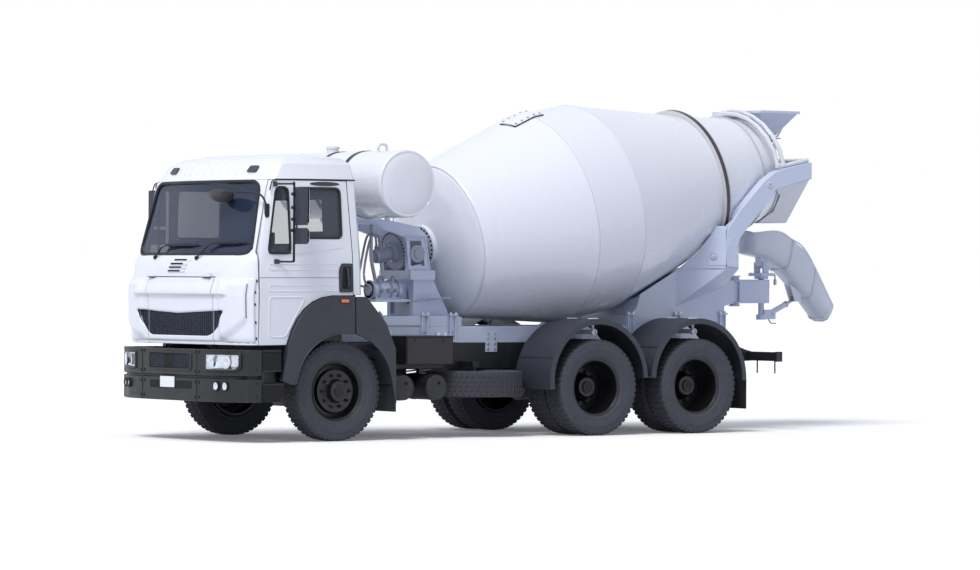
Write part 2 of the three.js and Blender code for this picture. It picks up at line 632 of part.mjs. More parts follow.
// Door mirror: a bent tube on two arms with a large head and a small one under it.
function mirror() {
  const { station, y } = MIRROR_TUBE;
  const skinY = 1200 + GAP;
  const foot = (z, onSkin) => rod(point(-820, onSkin - 20, z), point(station, y, z), 12, 6);
  const post = rod(point(station, y, 1865), point(station, y, 2685), 14, 6);
  const base = block([-850, -790], [skinY - 2, skinY + 12], [1840, 1890]);
  const upperBase = block([-830, -790], [1120, 1172], [2640, 2690]);
  const head = (z0, z1) => hull(...[[-684, 1], [-612, 0]].flatMap(([s, wide]) => [z0, z1]
    .flatMap((z) => [point(s, y - 25 + 10 * wide, z), point(s - 30, y + 190 - 10 * wide, z)])));
  return fuse(post, foot(1865, skinY), foot(2665, 1180), base, upperBase, head(2240, 2630),
    head(2045, 2210));
}

function frontGuard() {
  const inner = arc(0, TYRE_RADIUS, 612, 14, 82, 7);
  const outline = [[DOOR_REAR + 14, 1505], [277, 1505], [528, 1229], [648, 960], [660, 400],
    [645, 400], ...inner.slice().reverse()];
  const lip = sidePlate(outline, 1206, FLARE_OUTER_Y);
  const shelf = arc(0, TYRE_RADIUS, 630, 48, 84, 4);
  const shelfOuter = arc(0, TYRE_RADIUS, 642, 84, 48, 4);
  const wing = sidePlate([...shelf, ...shelfOuter], 800, 1210);
  const flap = block([650, 662], [800, 1206 + 20], [300, 600]);
  const stay = rod(point(551, RAIL_OUTER_Y + GAP, 840), point(551, 1000, 840), 22, 8);
  return fuse(lip, wing, flap, stay);
}

// ---------------------------------------------------------------- along the rails
const LOCKER = { front: 980, rear: 1586, innerY: 520, outerY: 950, bottom: 785, top: 1077 };
const AIR_TANK = { stations: [876, 1300], radius: 135, z: 545, innerY: 560, outerY: 1050 };

// The battery locker on its bracket from the rail, with two air tanks hung under it.
function sideLocker() {
  const { front, rear, innerY, outerY, bottom, top } = LOCKER;
  const body = block([front, rear], [innerY, outerY], [bottom, top]);
  const bracket = block([front + 100, front + 180], [RAIL_OUTER_Y + GAP, innerY + 10], [820, 900]);
  const second = block([rear - 180, rear - 100], [RAIL_OUTER_Y + GAP, innerY + 10], [820, 900]);
  const beam = block([840, rear], [700, 760], [bottom - 50, bottom + 10]);
  const tanks = AIR_TANK.stations.flatMap((station) => [
    rod(point(station, AIR_TANK.innerY, AIR_TANK.z), point(station, AIR_TANK.outerY, AIR_TANK.z),
      AIR_TANK.radius, 16),
    block([station - 25, station + 25], [700, 760], [AIR_TANK.z, bottom - 40])]);
  return fuse(body, bracket, second, beam, ...tanks);
}

const FUEL_TANK = { front: 900, rear: 2000, innerY: 520, outerY: 1130, bottom: 480, top: 1060 };

// The fuel tank on the right, with rounded edges and two cradle straps onto the rail.
function fuelTank() {
  const { front, rear, innerY, outerY, bottom, top } = FUEL_TANK;
  const r = 90;
  const corner = (y, z, from) => Array.from({ length: 4 }, (_, i) => {
    const angle = THREE.MathUtils.degToRad(from + i * 30);
    return [y + r * Math.cos(angle), z + r * Math.sin(angle)];
  });
  const outline = [...corner(outerY - r, bottom + r, 270), ...corner(outerY - r, top - r, 0),
    ...corner(innerY + r, top - r, 90), ...corner(innerY + r, bottom + r, 180)];
  const tank = crossPlate(outline, front, rear);
  const cradles = [front + 200, rear - 280].map((station) =>
    block([station, station + 80], [RAIL_OUTER_Y + GAP, innerY + 60], [760, 900]));
  return mirrored(fuse(tank, ...cradles));
}

const SPARE = { station: 2060, y: 665, bottom: 430 };

// The spare wheel, lying flat under the rail on its carrier.
function spareWheel() {
  const { station, y, bottom } = SPARE;
  const middle = bottom + TYRE_WIDTH / 2;
  const up = new THREE.Vector3(0, 0, 1);
  const tyre = revolved(closed(tyreProfile(0)), point(station, y, middle), up, TYRE_SEGMENTS);
  const r = RIM_RADIUS * 1.02;
  const disc = revolved([[-40, 0], [-40, r], [-20, r], [-20, 0]], point(station, y, middle), up, 20);
  const bolt = rod(point(station, y, middle - 30), point(station, y, RAIL_BOTTOM + 60), 28, 10);
  const arm = block([station - 40, station + 40], [RAIL_OUTER_Y + GAP, y + 40],
    [RAIL_BOTTOM + 20, RAIL_BOTTOM + 80]);
  return fuse(tyre, disc, bolt, arm);
}

// Twin rear mudguards, one arch over each wheel pair, with the flap behind and its stays.
const GUARD = { radius: 665, wall: 10, innerY: 632, outerY: 1268, z: 600, steps: 10 };

function mudguard() {
  const parts = [];
  REAR_STATIONS.forEach((station, i) => {
    const ends = i === 0 ? [-98, 88] : [-88, 92];
    const outer = arc(station, GUARD.z, GUARD.radius, ends[0], ends[1], GUARD.steps);
    const inner = arc(station, GUARD.z, GUARD.radius - GUARD.wall, ends[1], ends[0], GUARD.steps);
    const skin = sidePlate([...outer, ...inner], GUARD.innerY, GUARD.outerY);
    const stay = rod(point(station, RAIL_OUTER_Y + GAP, 1120), point(station, 1160, 1120), 24, 8);
    const props = [760, 1140].map((y) =>
      rod(point(station, y, 1120), point(station, y, GUARD.z + GUARD.radius - 6), 16, 6));
    parts.push(skin, stay, ...props);
  });
  const back = REAR_STATIONS[1] + GUARD.radius;
  parts.push(block([back - 12, back], [GUARD.innerY, GUARD.outerY], [260, 600]));
  const between = (REAR_STATIONS[0] + REAR_STATIONS[1]) / 2;
  parts.push(block([between - 34, between + 34], [GUARD.innerY, GUARD.outerY], [620, 634]));
  return fuse(...parts);
}

// ---------------------------------------------------------------- mixer: front support
const drumAxis = new THREE.Vector3(-Math.cos(DRUM_TILT), 0, Math.sin(DRUM_TILT));
const drumOrigin = point(DRUM_STATION, 0, DRUM_AXIS_Z);
const onDrumAxis = (along) => drumOrigin.clone().addScaledVector(drumAxis, along);

const PEDESTAL_HALF = 250;
const GEARBOX = { front: -1930, rear: -1560, radius: 195, flange: 225 };
const DRUM_FLANGE = -1550;

// Two upright plates under a table, an arch-shaped recess in front, a cradle for the drum's
// gearbox on top and a shelf in front of it for the water tank.
function frontPedestal() {
  const top = 1690;
  const tower = sidePlate([[1550, 1281], [1550, top], [1810, top], [1850, 1600], [2000, 1340],
    [2010, 1281]], -PEDESTAL_HALF, PEDESTAL_HALF);
  const recess = crossPlate([[-190, 1310], [190, 1310], [190, 1480], [130, 1590], [-130, 1590],
    [-190, 1480]], 1500, 1580);
  const inside = block([1620, 1790], [-PEDESTAL_HALF + 30, PEDESTAL_HALF - 30], [1200, 1640]);
  const hole = rod(point(1500, 100, 1440), point(1700, 100, 1440), 28, 12);
  const foot = (y) => block([1030, 2060], [y - 45, y + 45], [SUBFRAME_TOP + GAP, 1281]);
  const crossFoot = block([1540, 2020], [-RAIL_OUTER_Y, RAIL_OUTER_Y],
    [SUBFRAME_TOP + 40, 1290]);
  const base = block([1480, 1800], [-300, 300], [top - 10, 1780]);
  const window = sidePlate([[1510, 1830], [1490, 2100], [1640, 2100], [1690, 1830]], -400, 400);
  const sidePlates = [-1, 1].map((way) => cut(sidePlate([[1480, 1770], [1440, 2160], [1690, 2160],
    [1760, 1770]], way * 205, way * 262), window));
  const shelf = fuse(...[-1, 1].map((way) => sidePlate([[700, 2325], [700, 2290], [1060, 2270],
    [1130, 2225], [1450, 2130], [1690, 2130], [1690, 2170], [1600, 2250], [1180, 2325]],
  way * 230, way * 262)));
  const shelfTie = block([760, 820], [-250, 250], [2292, 2324]);
  const pumpShelf = block([1090, 1560], [-90, 200], [1440, 1470]);
  const pump = rod(point(1100, 60, 1570), point(1480, 60, 1570), 95, 14);
  const pumpFoot = block([1150, 1460], [0, 120], [1460, 1520]);
  const pumpBack = block([1440, 1560], [20, 110], [1460, 1640]);
  const support = fuse(cut(tower, recess, inside, hole), foot(RAIL_OUTER_Y - 45),
    foot(45 - RAIL_OUTER_Y), crossFoot, base, ...sidePlates, shelf, shelfTie, pumpShelf, pump,
    pumpFoot, pumpBack);
  const saddle = drumGearbox(GAP);
  const slide = drumAxis.clone().multiplyScalar(GAP);
  return cut(support, saddle, saddle.translate(slide.toArray()),
    saddle.translate(slide.negate().toArray()));
}

// The drum's planetary gearbox, with its motor in front.
function drumGearbox(grow = 0) {
  const outline = [[GEARBOX.front - 260, 0], [GEARBOX.front - 260, 75], [GEARBOX.front - 60, 75],
    [GEARBOX.front - 60, 110], [GEARBOX.front, 110], [GEARBOX.front, GEARBOX.flange],
    [GEARBOX.front + 40, GEARBOX.flange], [GEARBOX.front + 40, GEARBOX.radius],
    [GEARBOX.rear - 60, GEARBOX.radius], [GEARBOX.rear - 60, 150], [GEARBOX.rear, 150],
    [GEARBOX.rear, 0]];
  const profile = outline.map(([along, radius]) => [along, radius > 0 ? radius + grow : 0]);
  return revolved(profile, drumOrigin, drumAxis, 20);
}

const WATER_TANK = { station: 955, z: 2694, radius: 365, halfLength: 1000 };

// A water tank across the truck, dished at both ends, with two straps and their pads.
function waterTank() {
  const { station, z, radius, halfLength } = WATER_TANK;
  const r = radius - 6;
  const strap = (y) => [[y - 35, r], [y - 35, radius], [y + 35, radius], [y + 35, r]];
  const profile = [[-halfLength - 40, 0], [-halfLength - 30, r * 0.6], [-halfLength, r],
    ...strap(-245), ...strap(245), [halfLength, r], [halfLength + 30, r * 0.6],
    [halfLength + 40, 0]];
  const shell = revolved(profile, point(station, 0, z), acrossTruck, 24);
  const pads = [-1, 1].map((way) => block([station - 200, station + 170],
    [way * 230, way * 262].sort((a, b) => a - b), [2325 + GAP, 2440]));
  return fuse(shell, ...pads);
}

// ---------------------------------------------------------------- mixer: drum
const coneRadius = (along) => {
  const knots = [[BELLY_LENGTH, BELLY_RADIUS], [RING_ALONG, 801], [BAND_ALONG, BAND_RADIUS],
    [MOUTH_ALONG, MOUTH_RADIUS]];
  const i = Math.max(1, knots.findIndex((knot) => knot[0] >= along));
  const [[a0, r0], [a1, r1]] = [knots[i - 1], knots[i]];
  return r0 + ((along - a0) * (r1 - r0)) / (a1 - a0);
};

// The outside of the drum, from the mounting flange at the front to the mouth.
function drumOutside() {
  const ringStart = RING_ALONG - RING_WIDTH / 2;
  const ringEnd = RING_ALONG + RING_WIDTH / 2;
  return [[DRUM_FLANGE, 0], [DRUM_FLANGE, 215], [DRUM_FLANGE + 45, 215], [DRUM_FLANGE + 45, 260],
    [-1420, 620], [-HEAD_LENGTH, HEAD_RADIUS], [0, BELLY_RADIUS], [BELLY_LENGTH, BELLY_RADIUS],
    [ringStart, coneRadius(ringStart)], [ringStart, RING_RADIUS], [ringEnd, RING_RADIUS],
    [ringEnd, coneRadius(ringEnd)], [MOUTH_ALONG, MOUTH_RADIUS]];
}

function drum() {
  const inside = [[MOUTH_ALONG, MOUTH_RADIUS - DRUM_WALL],
    [RING_ALONG, coneRadius(RING_ALONG) - DRUM_WALL],
    [BELLY_LENGTH - 5, BELLY_RADIUS - DRUM_WALL], [5, BELLY_RADIUS - DRUM_WALL],
    [-HEAD_LENGTH + 15, HEAD_RADIUS - DRUM_WALL], [-1400, 590], [-1470, 240], [-1470, 0]];
  return revolved([...drumOutside(), ...inside], drumOrigin, drumAxis, DRUM_SEGMENTS);
}

// What the drum sweeps, with a clearance, for cutting what stands round it.
function drumEnvelope() {
  const sides = 20;
  const grow = 1 / Math.cos(Math.PI / sides);
  const grown = drumOutside().slice(4)
    .map(([along, radius]) => [along, (radius + DRUM_CLEARANCE) * grow]);
  const end = MOUTH_ALONG + DRUM_CLEARANCE;
  return revolved([[-1505, 0], ...grown, [end, grown.at(-1)[1]], [end, 0]],
    drumOrigin, drumAxis, sides);
}

// ---------------------------------------------------------------- mixer: rear support
const TABLE = { front: 4961, rear: 5700, top: 1820 };
const ARM_FOOT = [5391, 5571]; // stations of the arm's foot on the table
const rollerCentre = (way) => {
  const down = new THREE.Vector3(-Math.sin(DRUM_TILT), 0, -Math.cos(DRUM_TILT));
  const distance = RING_RADIUS + ROLLER_RADIUS + RUN;
  return onDrumAxis(RING_ALONG).addScaledVector(down, distance * Math.cos(ROLLER_ANGLE))
    .add(new THREE.Vector3(0, way * distance * Math.sin(ROLLER_ANGLE), 0));
};

// The rear pedestal: a box tower on the subframe, a table that reaches out to the arms, the
// two rollers under the drum's ring, and the bracket with the chute's post behind.
function rearPedestal() {
  const side = RAIL_OUTER_Y;
  const foot = SUBFRAME_TOP + GAP;
  const tower = sidePlate([[4312, foot], [4312, 1290], [4377, 1300], [4456, 1387], [4507, 1562],
    [4560, 1700], [TABLE.front, TABLE.top], [TABLE.rear, TABLE.top], [TABLE.rear, foot]],
  -side, side);
  const inside = sidePlate([[4420, 1100], [4560, 1480], [4980, 1700], [5520, 1700], [5600, 1550],
    [5660, 1100]], -side + 30, side - 30);
  const [footFront, footRear] = ARM_FOOT;
  const shoulder = (way) => hull(...[[5000, side, 1390], [TABLE.rear, side, 1613],
    [5000, side, TABLE.top], [TABLE.rear, side, TABLE.top], [5000, side - 30, 1420],
    [TABLE.rear, side - 30, TABLE.top], [5000, side - 30, TABLE.top],
    [footFront, ARM_OUTER_Y, TABLE.top - 12], [footFront, ARM_OUTER_Y, TABLE.top],
    [footRear, ARM_OUTER_Y, TABLE.top - 12], [footRear, ARM_OUTER_Y, TABLE.top],
  ].map(([s, y, z]) => point(s, way * y, z)));
  const wing = (way) => planPlate([[5000, side - 16], [5000, side], [footFront - GAP, ARM_OUTER_Y],
    [footFront - GAP, ARM_OUTER_Y - 22]].map(([s, y]) => [s, way * y]), TABLE.top - 5, 2290);
  const parts = [cut(tower, inside)];
  for (const way of [-1, 1]) {
    parts.push(shoulder(way), wing(way));
    const centre = rollerCentre(way);
    const end = (amount) => centre.clone().addScaledVector(drumAxis, amount);
    parts.push(rod(end(-50), end(50), ROLLER_RADIUS, 14), rod(end(-95), end(95), 30, 8));
    for (const amount of [-85, 85]) {
      const ear = end(amount);
      parts.push(box([ear.x - 14, ear.x + 14], [ear.y - 55, ear.y + 55], [TABLE.top - 5, ear.z + 40]));
    }
  }
  return cut(fuse(...parts, chutePost()), drumEnvelope());
}

const POST_STATION = 6190;
const LINK = { bottom: 1420, top: 1690, halfWidth: 95, bore: SWIVEL_RADIUS + RUN };

function chutePost() {
  const bracket = hull(...[[5640, 180, 1330], [5640, 180, 1640], [POST_STATION, 60, 1430],
    [POST_STATION, 60, 1690]].flatMap(([s, y, z]) => [point(s, y, z), point(s, -y, z)]));
  const post = rod(point(POST_STATION, 0, 1400), point(POST_STATION, 0, 1720), 48, 12);
  const link = block([POST_STATION, SWIVEL_STATION], [-LINK.halfWidth, LINK.halfWidth],
    [LINK.bottom, LINK.top]);
  const nose = rod(point(SWIVEL_STATION, 0, LINK.bottom), point(SWIVEL_STATION, 0, LINK.top),
    LINK.halfWidth, 16);
  const bore = rod(point(SWIVEL_STATION, 0, LINK.bottom - 10),
    point(SWIVEL_STATION, 0, LINK.top + 10), LINK.bore, 12);
  return fuse(bracket, post, cut(fuse(link, nose), bore));
}

const ARM_TIP = 6632;

// The space that the roller ring turns in, which the arms' inner faces are relieved for.
function ringRoom() {
  const half = RING_WIDTH / 2 + DRUM_CLEARANCE;
  return rod(onDrumAxis(RING_ALONG - half), onDrumAxis(RING_ALONG + half),
    RING_RADIUS + DRUM_CLEARANCE, DRUM_SEGMENTS);
}

// A bent box arm from the table up past the drum's mouth.
function rearArm(rise = 0) {
  const [front, rear] = ARM_FOOT;
  const outline = [[front, TABLE.top + GAP], [front, 2117], [5420, 2262], [5594, 2469],
    [5846, 2710], [5954, 2810], [6099, 2904], [6244, 2949], [ARM_TIP, 3026], [ARM_TIP, 2835],
    [6173, 2732], [6100, 2700], [6028, 2600], [5847, 2415], [5596, 2161], [rear, 2095],
    [rear, TABLE.top + GAP]];
  return sidePlate(outline, ARM_INNER_Y, ARM_OUTER_Y).translate([0, 0, rise]);
}

const HOOP = { halfWidth: 780, height: 610, stations: [6180, 6265], radius: 26 };
const TAIL_BEAM = { station: 6600, z: 3044 };

// White tube work over the mouth: two hoops from arm to arm, a rail along each arm and the
// cross tube at the tips, with two posts that carry the hopper.
function mouthFrame() {
  const parts = [];
  const armTop = (station) => 2949 + ((station - 6244) * (3026 - 2949)) / (ARM_TIP - 6244);
  HOOP.stations.forEach((station, i) => {
    const lift = armTop(Math.max(station, 6244)) + HOOP.radius;
    const points = Array.from({ length: 13 }, (_, k) => {
      const angle = (Math.PI * k) / 12;
      const rise = (HOOP.height + 25 * i) * Math.sin(angle);
      return point(station - rise * Math.sin(DRUM_TILT), HOOP.halfWidth * Math.cos(angle),
        lift + rise);
    });
    parts.push(tube(points, HOOP.radius, 6, 1));
  });
  for (const way of [-1, 1]) {
    const y = way * HOOP.halfWidth;
    parts.push(rod(point(HOOP.stations[0] - 20, y, armTop(6244) + HOOP.radius - 2),
      point(6300, y, armTop(6300) + HOOP.radius - 2), HOOP.radius, 6));
    parts.push(rod(point(6270, y, armTop(6270) + HOOP.radius - 2),
      point(ARM_TIP - 15, y, armTop(ARM_TIP - 15) + HOOP.radius - 2), HOOP.radius, 6));
    parts.push(rod(point(TAIL_BEAM.station, way * HOPPER.flangeHalf * 0.8, TAIL_BEAM.z),
      point(HOPPER.flangeRear - 40, way * HOPPER.flangeHalf * 0.8, HOPPER.flangeZ + 20), 20, 6));
  }
  parts.push(rod(point(TAIL_BEAM.station, -HOOP.halfWidth, TAIL_BEAM.z),
    point(TAIL_BEAM.station, HOOP.halfWidth, TAIL_BEAM.z), HOOP.radius, 6));
  const flangeZone = block([6500, 6700], [-300, 300], [HOPPER.flangeZ - GAP, 3400]);
  return cut(fuse(...parts), rearArm(GAP), mirrored(rearArm(GAP)), flangeZone);
}

const HOPPER = { top: 3610, flangeZ: 3300, flangeHalf: 250, flangeFront: 6330, flangeRear: 6660,
  wall: 12 };

// The charging hopper: a funnel whose neck drops into the drum's mouth.
function chargingHopper() {
  const ring = (front, rear, half, z) => [point(front, -half, z), point(rear, -half, z),
    point(rear, half, z), point(front, half, z)];
  const funnel = (inset, up, down) => loft([
    ring(6260 + inset, 6400 - inset, 120 - inset, 2990 - down),
    ring(6400 + inset, 6600 - inset, 190 - inset, HOPPER.flangeZ + 20),
    ring(6215 + inset, 6780 - inset, 440 - inset, HOPPER.top + up)]);
  const skin = cut(funnel(0, 0, 0), funnel(HOPPER.wall, 1, 1));
  const flange = cut(block([HOPPER.flangeFront, HOPPER.flangeRear],
    [-HOPPER.flangeHalf, HOPPER.flangeHalf], [HOPPER.flangeZ, HOPPER.flangeZ + 16]),
  funnel(1, 0, 0));
  return fuse(skin, flange);
}

// The discharge collector under the mouth, between the arms.
function dischargeCollector() {
  const ring = (front, rear, half, z) => [point(front, -half, z), point(rear, -half, z),
    point(rear, half, z), point(front, half, z)];
  const top = 2840;
  const outlet = 2340;
  const inner = ARM_INNER_Y - GAP;
  const funnel = (inset, over) => loft([ring(6300 + inset, 6745 - inset, 250 - inset, outlet - over),
    ring(6180 + inset, 6720 - inset, inner - 20 - inset, top + over)]);
  const flange = (way) => block([6480, ARM_TIP - 10], [way * (inner - 32), way * inner]
    .sort((a, b) => a - b), [2790, 2960]);
  const skin = cut(funnel(0, 0), funnel(10, 1));
  return cut(fuse(skin, flange(1), flange(-1)), drumEnvelope());
}

// ---------------------------------------------------------------- chute
const CRADLE_TOP = 1740;
const CHUTE_LUG_HALF = 55;
const TILT_PIN = 18;

// What turns on the swivel: the shaft, the tilt ears on top and the jack's ears below.
function chuteCradle() {
  const shaft = rod(point(SWIVEL_STATION, 0, 1230), point(SWIVEL_STATION, 0, CRADLE_TOP + 10),
    SWIVEL_RADIUS, 12);
  const collar = rod(point(SWIVEL_STATION, 0, LINK.top + RUN),
    point(SWIVEL_STATION, 0, CRADLE_TOP), 80, 16);
  const table = block([SWIVEL_STATION - 90, SWIVEL_STATION + 90], [-125, 125],
    [CRADLE_TOP - 10, CRADLE_TOP + 25]);
  const lowCollar = rod(point(SWIVEL_STATION, 0, 1230), point(SWIVEL_STATION, 0, 1290), 60, 12);
  const parts = [shaft, collar, table, lowCollar];
  for (const way of [-1, 1]) {
    const ys = [way * (CHUTE_LUG_HALF + RUN), way * (CHUTE_LUG_HALF + RUN + 30)];
    parts.push(block([SWIVEL_STATION - 38, SWIVEL_STATION + 38], ys, [CRADLE_TOP, TILT_Z + 30]));
    const low = [way * (JACK.radius + RUN), way * (JACK.radius + RUN + 20)];
    parts.push(block([SWIVEL_STATION, JACK_BASE.station + 45], low, [1235, 1345]));
  }
  const tiltHole = rod(point(SWIVEL_STATION, -200, TILT_Z), point(SWIVEL_STATION, 200, TILT_Z),
    TILT_PIN + 2, 10);
  const jackHole = rod(point(JACK_BASE.station, -200, JACK_BASE.z),
    point(JACK_BASE.station, 200, JACK_BASE.z), JACK.pin + 2, 10);
  return cut(fuse(...parts), tiltHole, jackHole);
}

const CHUTE_WALL = 12;
// Stations of the trough from the bowl to the tip: bottom and rim points and half width.
const TROUGH = [
  { bottom: [6300, 1995], rim: [6285, 2218], half: 150 },
  { bottom: [6370, 1975], rim: [6355, 2232], half: 240 },
  { bottom: [6585, 1940], rim: [6620, 2245], half: 262 },
  { bottom: [6800, 1830], rim: [6830, 2160], half: 245 },
  { bottom: [7080, 1577], rim: [7080, 2005], half: 225 },
  { bottom: [7450, 1205], rim: [7500, 1380], half: 208 },
];

function troughRing({ bottom, rim, half }, inset, lift) {
  const points = [];
  const steps = 8;
  for (let i = 0; i <= steps; i++) {
    const angle = Math.PI * (i / steps);
    const depth = Math.min(1, 1.25 * Math.sin(angle));
    const raise = i === 0 || i === steps ? lift : 0;
    const s = rim[0] + (bottom[0] - rim[0]) * depth;
    const z = rim[1] + (bottom[1] - rim[1]) * depth + inset * depth + raise;
    points.push(point(s, (half - inset) * Math.cos(angle), z));
  }
  return points;
}

function chute() {
  const outer = loft(TROUGH.map((section) => troughRing(section, 0, 0)));
  const along = (a, b, t) => ({
    bottom: a.bottom.map((v, k) => v + (b.bottom[k] - v) * t),
    rim: a.rim.map((v, k) => v + (b.rim[k] - v) * t), half: a.half + (b.half - a.half) * t });
  const inner = [along(TROUGH[0], TROUGH[1], 0.18), ...TROUGH.slice(1, -1),
    along(TROUGH.at(-2), TROUGH.at(-1), 1.08)];
  const trough = cut(outer, loft(inner.map((section) => troughRing(section, CHUTE_WALL, 60))));
  const lug = sidePlate([[SWIVEL_STATION - 50, 1960], [SWIVEL_STATION - 38, TILT_Z - 20],
    [SWIVEL_STATION, TILT_Z - 42], [SWIVEL_STATION + 38, TILT_Z - 20], [SWIVEL_STATION + 60, 1938]],
  -CHUTE_LUG_HALF, CHUTE_LUG_HALF);
  const ear = sidePlate([[JACK_EYE.station - 120, 1640], [JACK_EYE.station - 42, 1440],
    [JACK_EYE.station + 40, 1440], [JACK_EYE.station + 60, 1540]], JACK.eyeHalf + RUN,
  JACK.eyeHalf + RUN + 16);
  const solid = fuse(lug, ear, mirrored(ear));
  const hinge = CHUTE_LUG_HALF + RUN + 30;
  const pin = rod(point(SWIVEL_STATION, -hinge, TILT_Z), point(SWIVEL_STATION, hinge, TILT_Z),
    TILT_PIN, 10);
  const eyePin = rod(point(JACK_EYE.station, -JACK.eyeHalf - RUN - 8, JACK_EYE.z),
    point(JACK_EYE.station, JACK.eyeHalf + RUN + 8, JACK_EYE.z), JACK.pin, 10);
  const brackets = cut(solid, loft(TROUGH.map((section) => troughRing(section, 4, 60))));
  return fuse(trough, brackets, pin, eyePin);
}

const JACK = { radius: 32, bore: 24, rod: 18, length: 272, rodStart: 120, eyeHalf: 34, pin: 12,
  eyeRadius: 34, eyeGap: 8 };
const jackBase = point(JACK_BASE.station, 0, JACK_BASE.z);
const jackEye = point(JACK_EYE.station, 0, JACK_EYE.z);
const jackAxis = jackEye.clone().sub(jackBase).normalize();
const onJack = (amount) => jackBase.clone().addScaledVector(jackAxis, amount);

function jackBarrel() {
  const body = rod(onJack(-15), onJack(JACK.length), JACK.radius, 14);
  const bore = rod(onJack(20), onJack(JACK.length + 10), JACK.bore, 14);
  const pinEnd = JACK.radius + RUN + 20;
  const pin = rod(point(JACK_BASE.station, -pinEnd, JACK_BASE.z),
    point(JACK_BASE.station, pinEnd, JACK_BASE.z), JACK.pin, 10);
  return fuse(cut(body, bore), pin);
}

function jackRod() {
  const eye = rod(point(JACK_EYE.station, -JACK.eyeHalf, JACK_EYE.z),
    point(JACK_EYE.station, JACK.eyeHalf, JACK_EYE.z), JACK.eyeRadius, 14);
  const eyeHole = rod(point(JACK_EYE.station, -60, JACK_EYE.z),
    point(JACK_EYE.station, 60, JACK_EYE.z), JACK.pin + JACK.eyeGap, 12);
  return cut(fuse(rod(onJack(JACK.rodStart), jackEye, JACK.rod, 12), eye), eyeHole);
}

// ---------------------------------------------------------------- the truck
addPair("frame_rail", frameRail(), CHASSIS_BLACK);
addPair("subframe", subframeRail(), GREY_PAINT);
add("rear_crossmember", rearCrossmember(), CHASSIS_BLACK);
add("engine", engine(), CHASSIS_BLACK);
add("propshaft", propshaft(), CHASSIS_BLACK);
add("front_axle", frontAxle(), CHASSIS_BLACK);
add("rear_bogie", rearBogie(), CHASSIS_BLACK);
addPair("knuckle", knuckle(), CHASSIS_BLACK);
addPair("front_tyre", frontTyre(0), RUBBER);
addPair("front_rim", frontRim(0), CHASSIS_BLACK);
REAR_STATIONS.forEach((station, i) => {
  addPair(`rear_tyres_${i + 1}`, dualTyres(station), RUBBER);
  addPair(`rear_rim_${i + 1}`, rearRim(station), CHASSIS_BLACK);
});
add("front_bumper", frontBumper(), PLASTIC);
buildCab();
add("cab_floor", cabFloor(), CHASSIS_BLACK);
add("cab_interior", insideCab(cabInterior()), TRIM);
addPair("arch_flare", flare(), PLASTIC);
addPair("mirror", cut(mirror(), cabBody(-GAP, false)), PLASTIC);
addPair("front_guard", frontGuard(), PLASTIC);
add("side_locker", sideLocker(), CHASSIS_BLACK);
add("fuel_tank", fuelTank(), CHASSIS_BLACK);
add("spare_wheel", spareWheel(), RUBBER);
addPair("mudguard", mudguard(), PLASTIC);
add("front_pedestal", frontPedestal(), GREY_PAINT);
add("drum_gearbox", drumGearbox(), GREY_PAINT);
add("water_tank", waterTank(), CHASSIS_BLACK);
add("drum", drum(), WHITE);
add("rear_pedestal", rearPedestal(), GREY_PAINT);
addPair("rear_arm", cut(rearArm(), ringRoom()), GREY_PAINT);
add("mouth_frame", mouthFrame(), STEEL);
add("charging_hopper", chargingHopper(), GREY_PAINT);
add("discharge_collector", dischargeCollector(), GREY_PAINT);
add("chute_cradle", chuteCradle(), GREY_PAINT);
add("chute", chute(), GREY_PAINT);
add("jack_barrel", jackBarrel(), STEEL);
add("jack_rod", jackRod(), STEEL);

export default truck;
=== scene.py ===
"""Concrete mixer truck, 6x4: the visible model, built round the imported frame.
+X is forward, +Y is the truck's left, +Z is up and the origin is on the ground. Sizes in
the sections are millimetres; a station is a distance behind the front axle."""
import json
import math

import bmesh
import bpy
from mathutils import Matrix, Vector

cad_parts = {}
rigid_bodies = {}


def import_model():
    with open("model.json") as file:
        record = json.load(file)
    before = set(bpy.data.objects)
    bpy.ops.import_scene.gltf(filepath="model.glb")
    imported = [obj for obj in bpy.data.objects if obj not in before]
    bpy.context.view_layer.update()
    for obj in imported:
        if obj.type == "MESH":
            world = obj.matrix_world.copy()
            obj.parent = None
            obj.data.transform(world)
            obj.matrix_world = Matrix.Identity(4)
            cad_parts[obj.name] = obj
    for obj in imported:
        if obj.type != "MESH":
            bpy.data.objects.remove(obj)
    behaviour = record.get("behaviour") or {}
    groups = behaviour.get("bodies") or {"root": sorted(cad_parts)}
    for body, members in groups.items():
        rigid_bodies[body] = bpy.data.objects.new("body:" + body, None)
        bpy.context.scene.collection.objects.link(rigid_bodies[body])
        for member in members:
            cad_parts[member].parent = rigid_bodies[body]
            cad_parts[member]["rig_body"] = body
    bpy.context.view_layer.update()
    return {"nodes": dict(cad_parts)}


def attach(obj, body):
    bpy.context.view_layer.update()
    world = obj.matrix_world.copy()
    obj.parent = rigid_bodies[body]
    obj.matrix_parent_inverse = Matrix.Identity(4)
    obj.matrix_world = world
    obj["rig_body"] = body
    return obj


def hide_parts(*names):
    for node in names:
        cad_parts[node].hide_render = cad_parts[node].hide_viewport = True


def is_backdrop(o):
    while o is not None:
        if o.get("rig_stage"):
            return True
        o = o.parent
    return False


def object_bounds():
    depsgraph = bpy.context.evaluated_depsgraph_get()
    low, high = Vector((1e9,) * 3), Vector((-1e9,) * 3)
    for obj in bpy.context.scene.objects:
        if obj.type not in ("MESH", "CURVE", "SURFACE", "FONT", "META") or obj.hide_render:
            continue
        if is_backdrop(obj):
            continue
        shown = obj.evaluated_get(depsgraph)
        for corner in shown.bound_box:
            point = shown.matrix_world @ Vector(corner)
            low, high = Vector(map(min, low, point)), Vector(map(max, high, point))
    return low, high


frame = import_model()

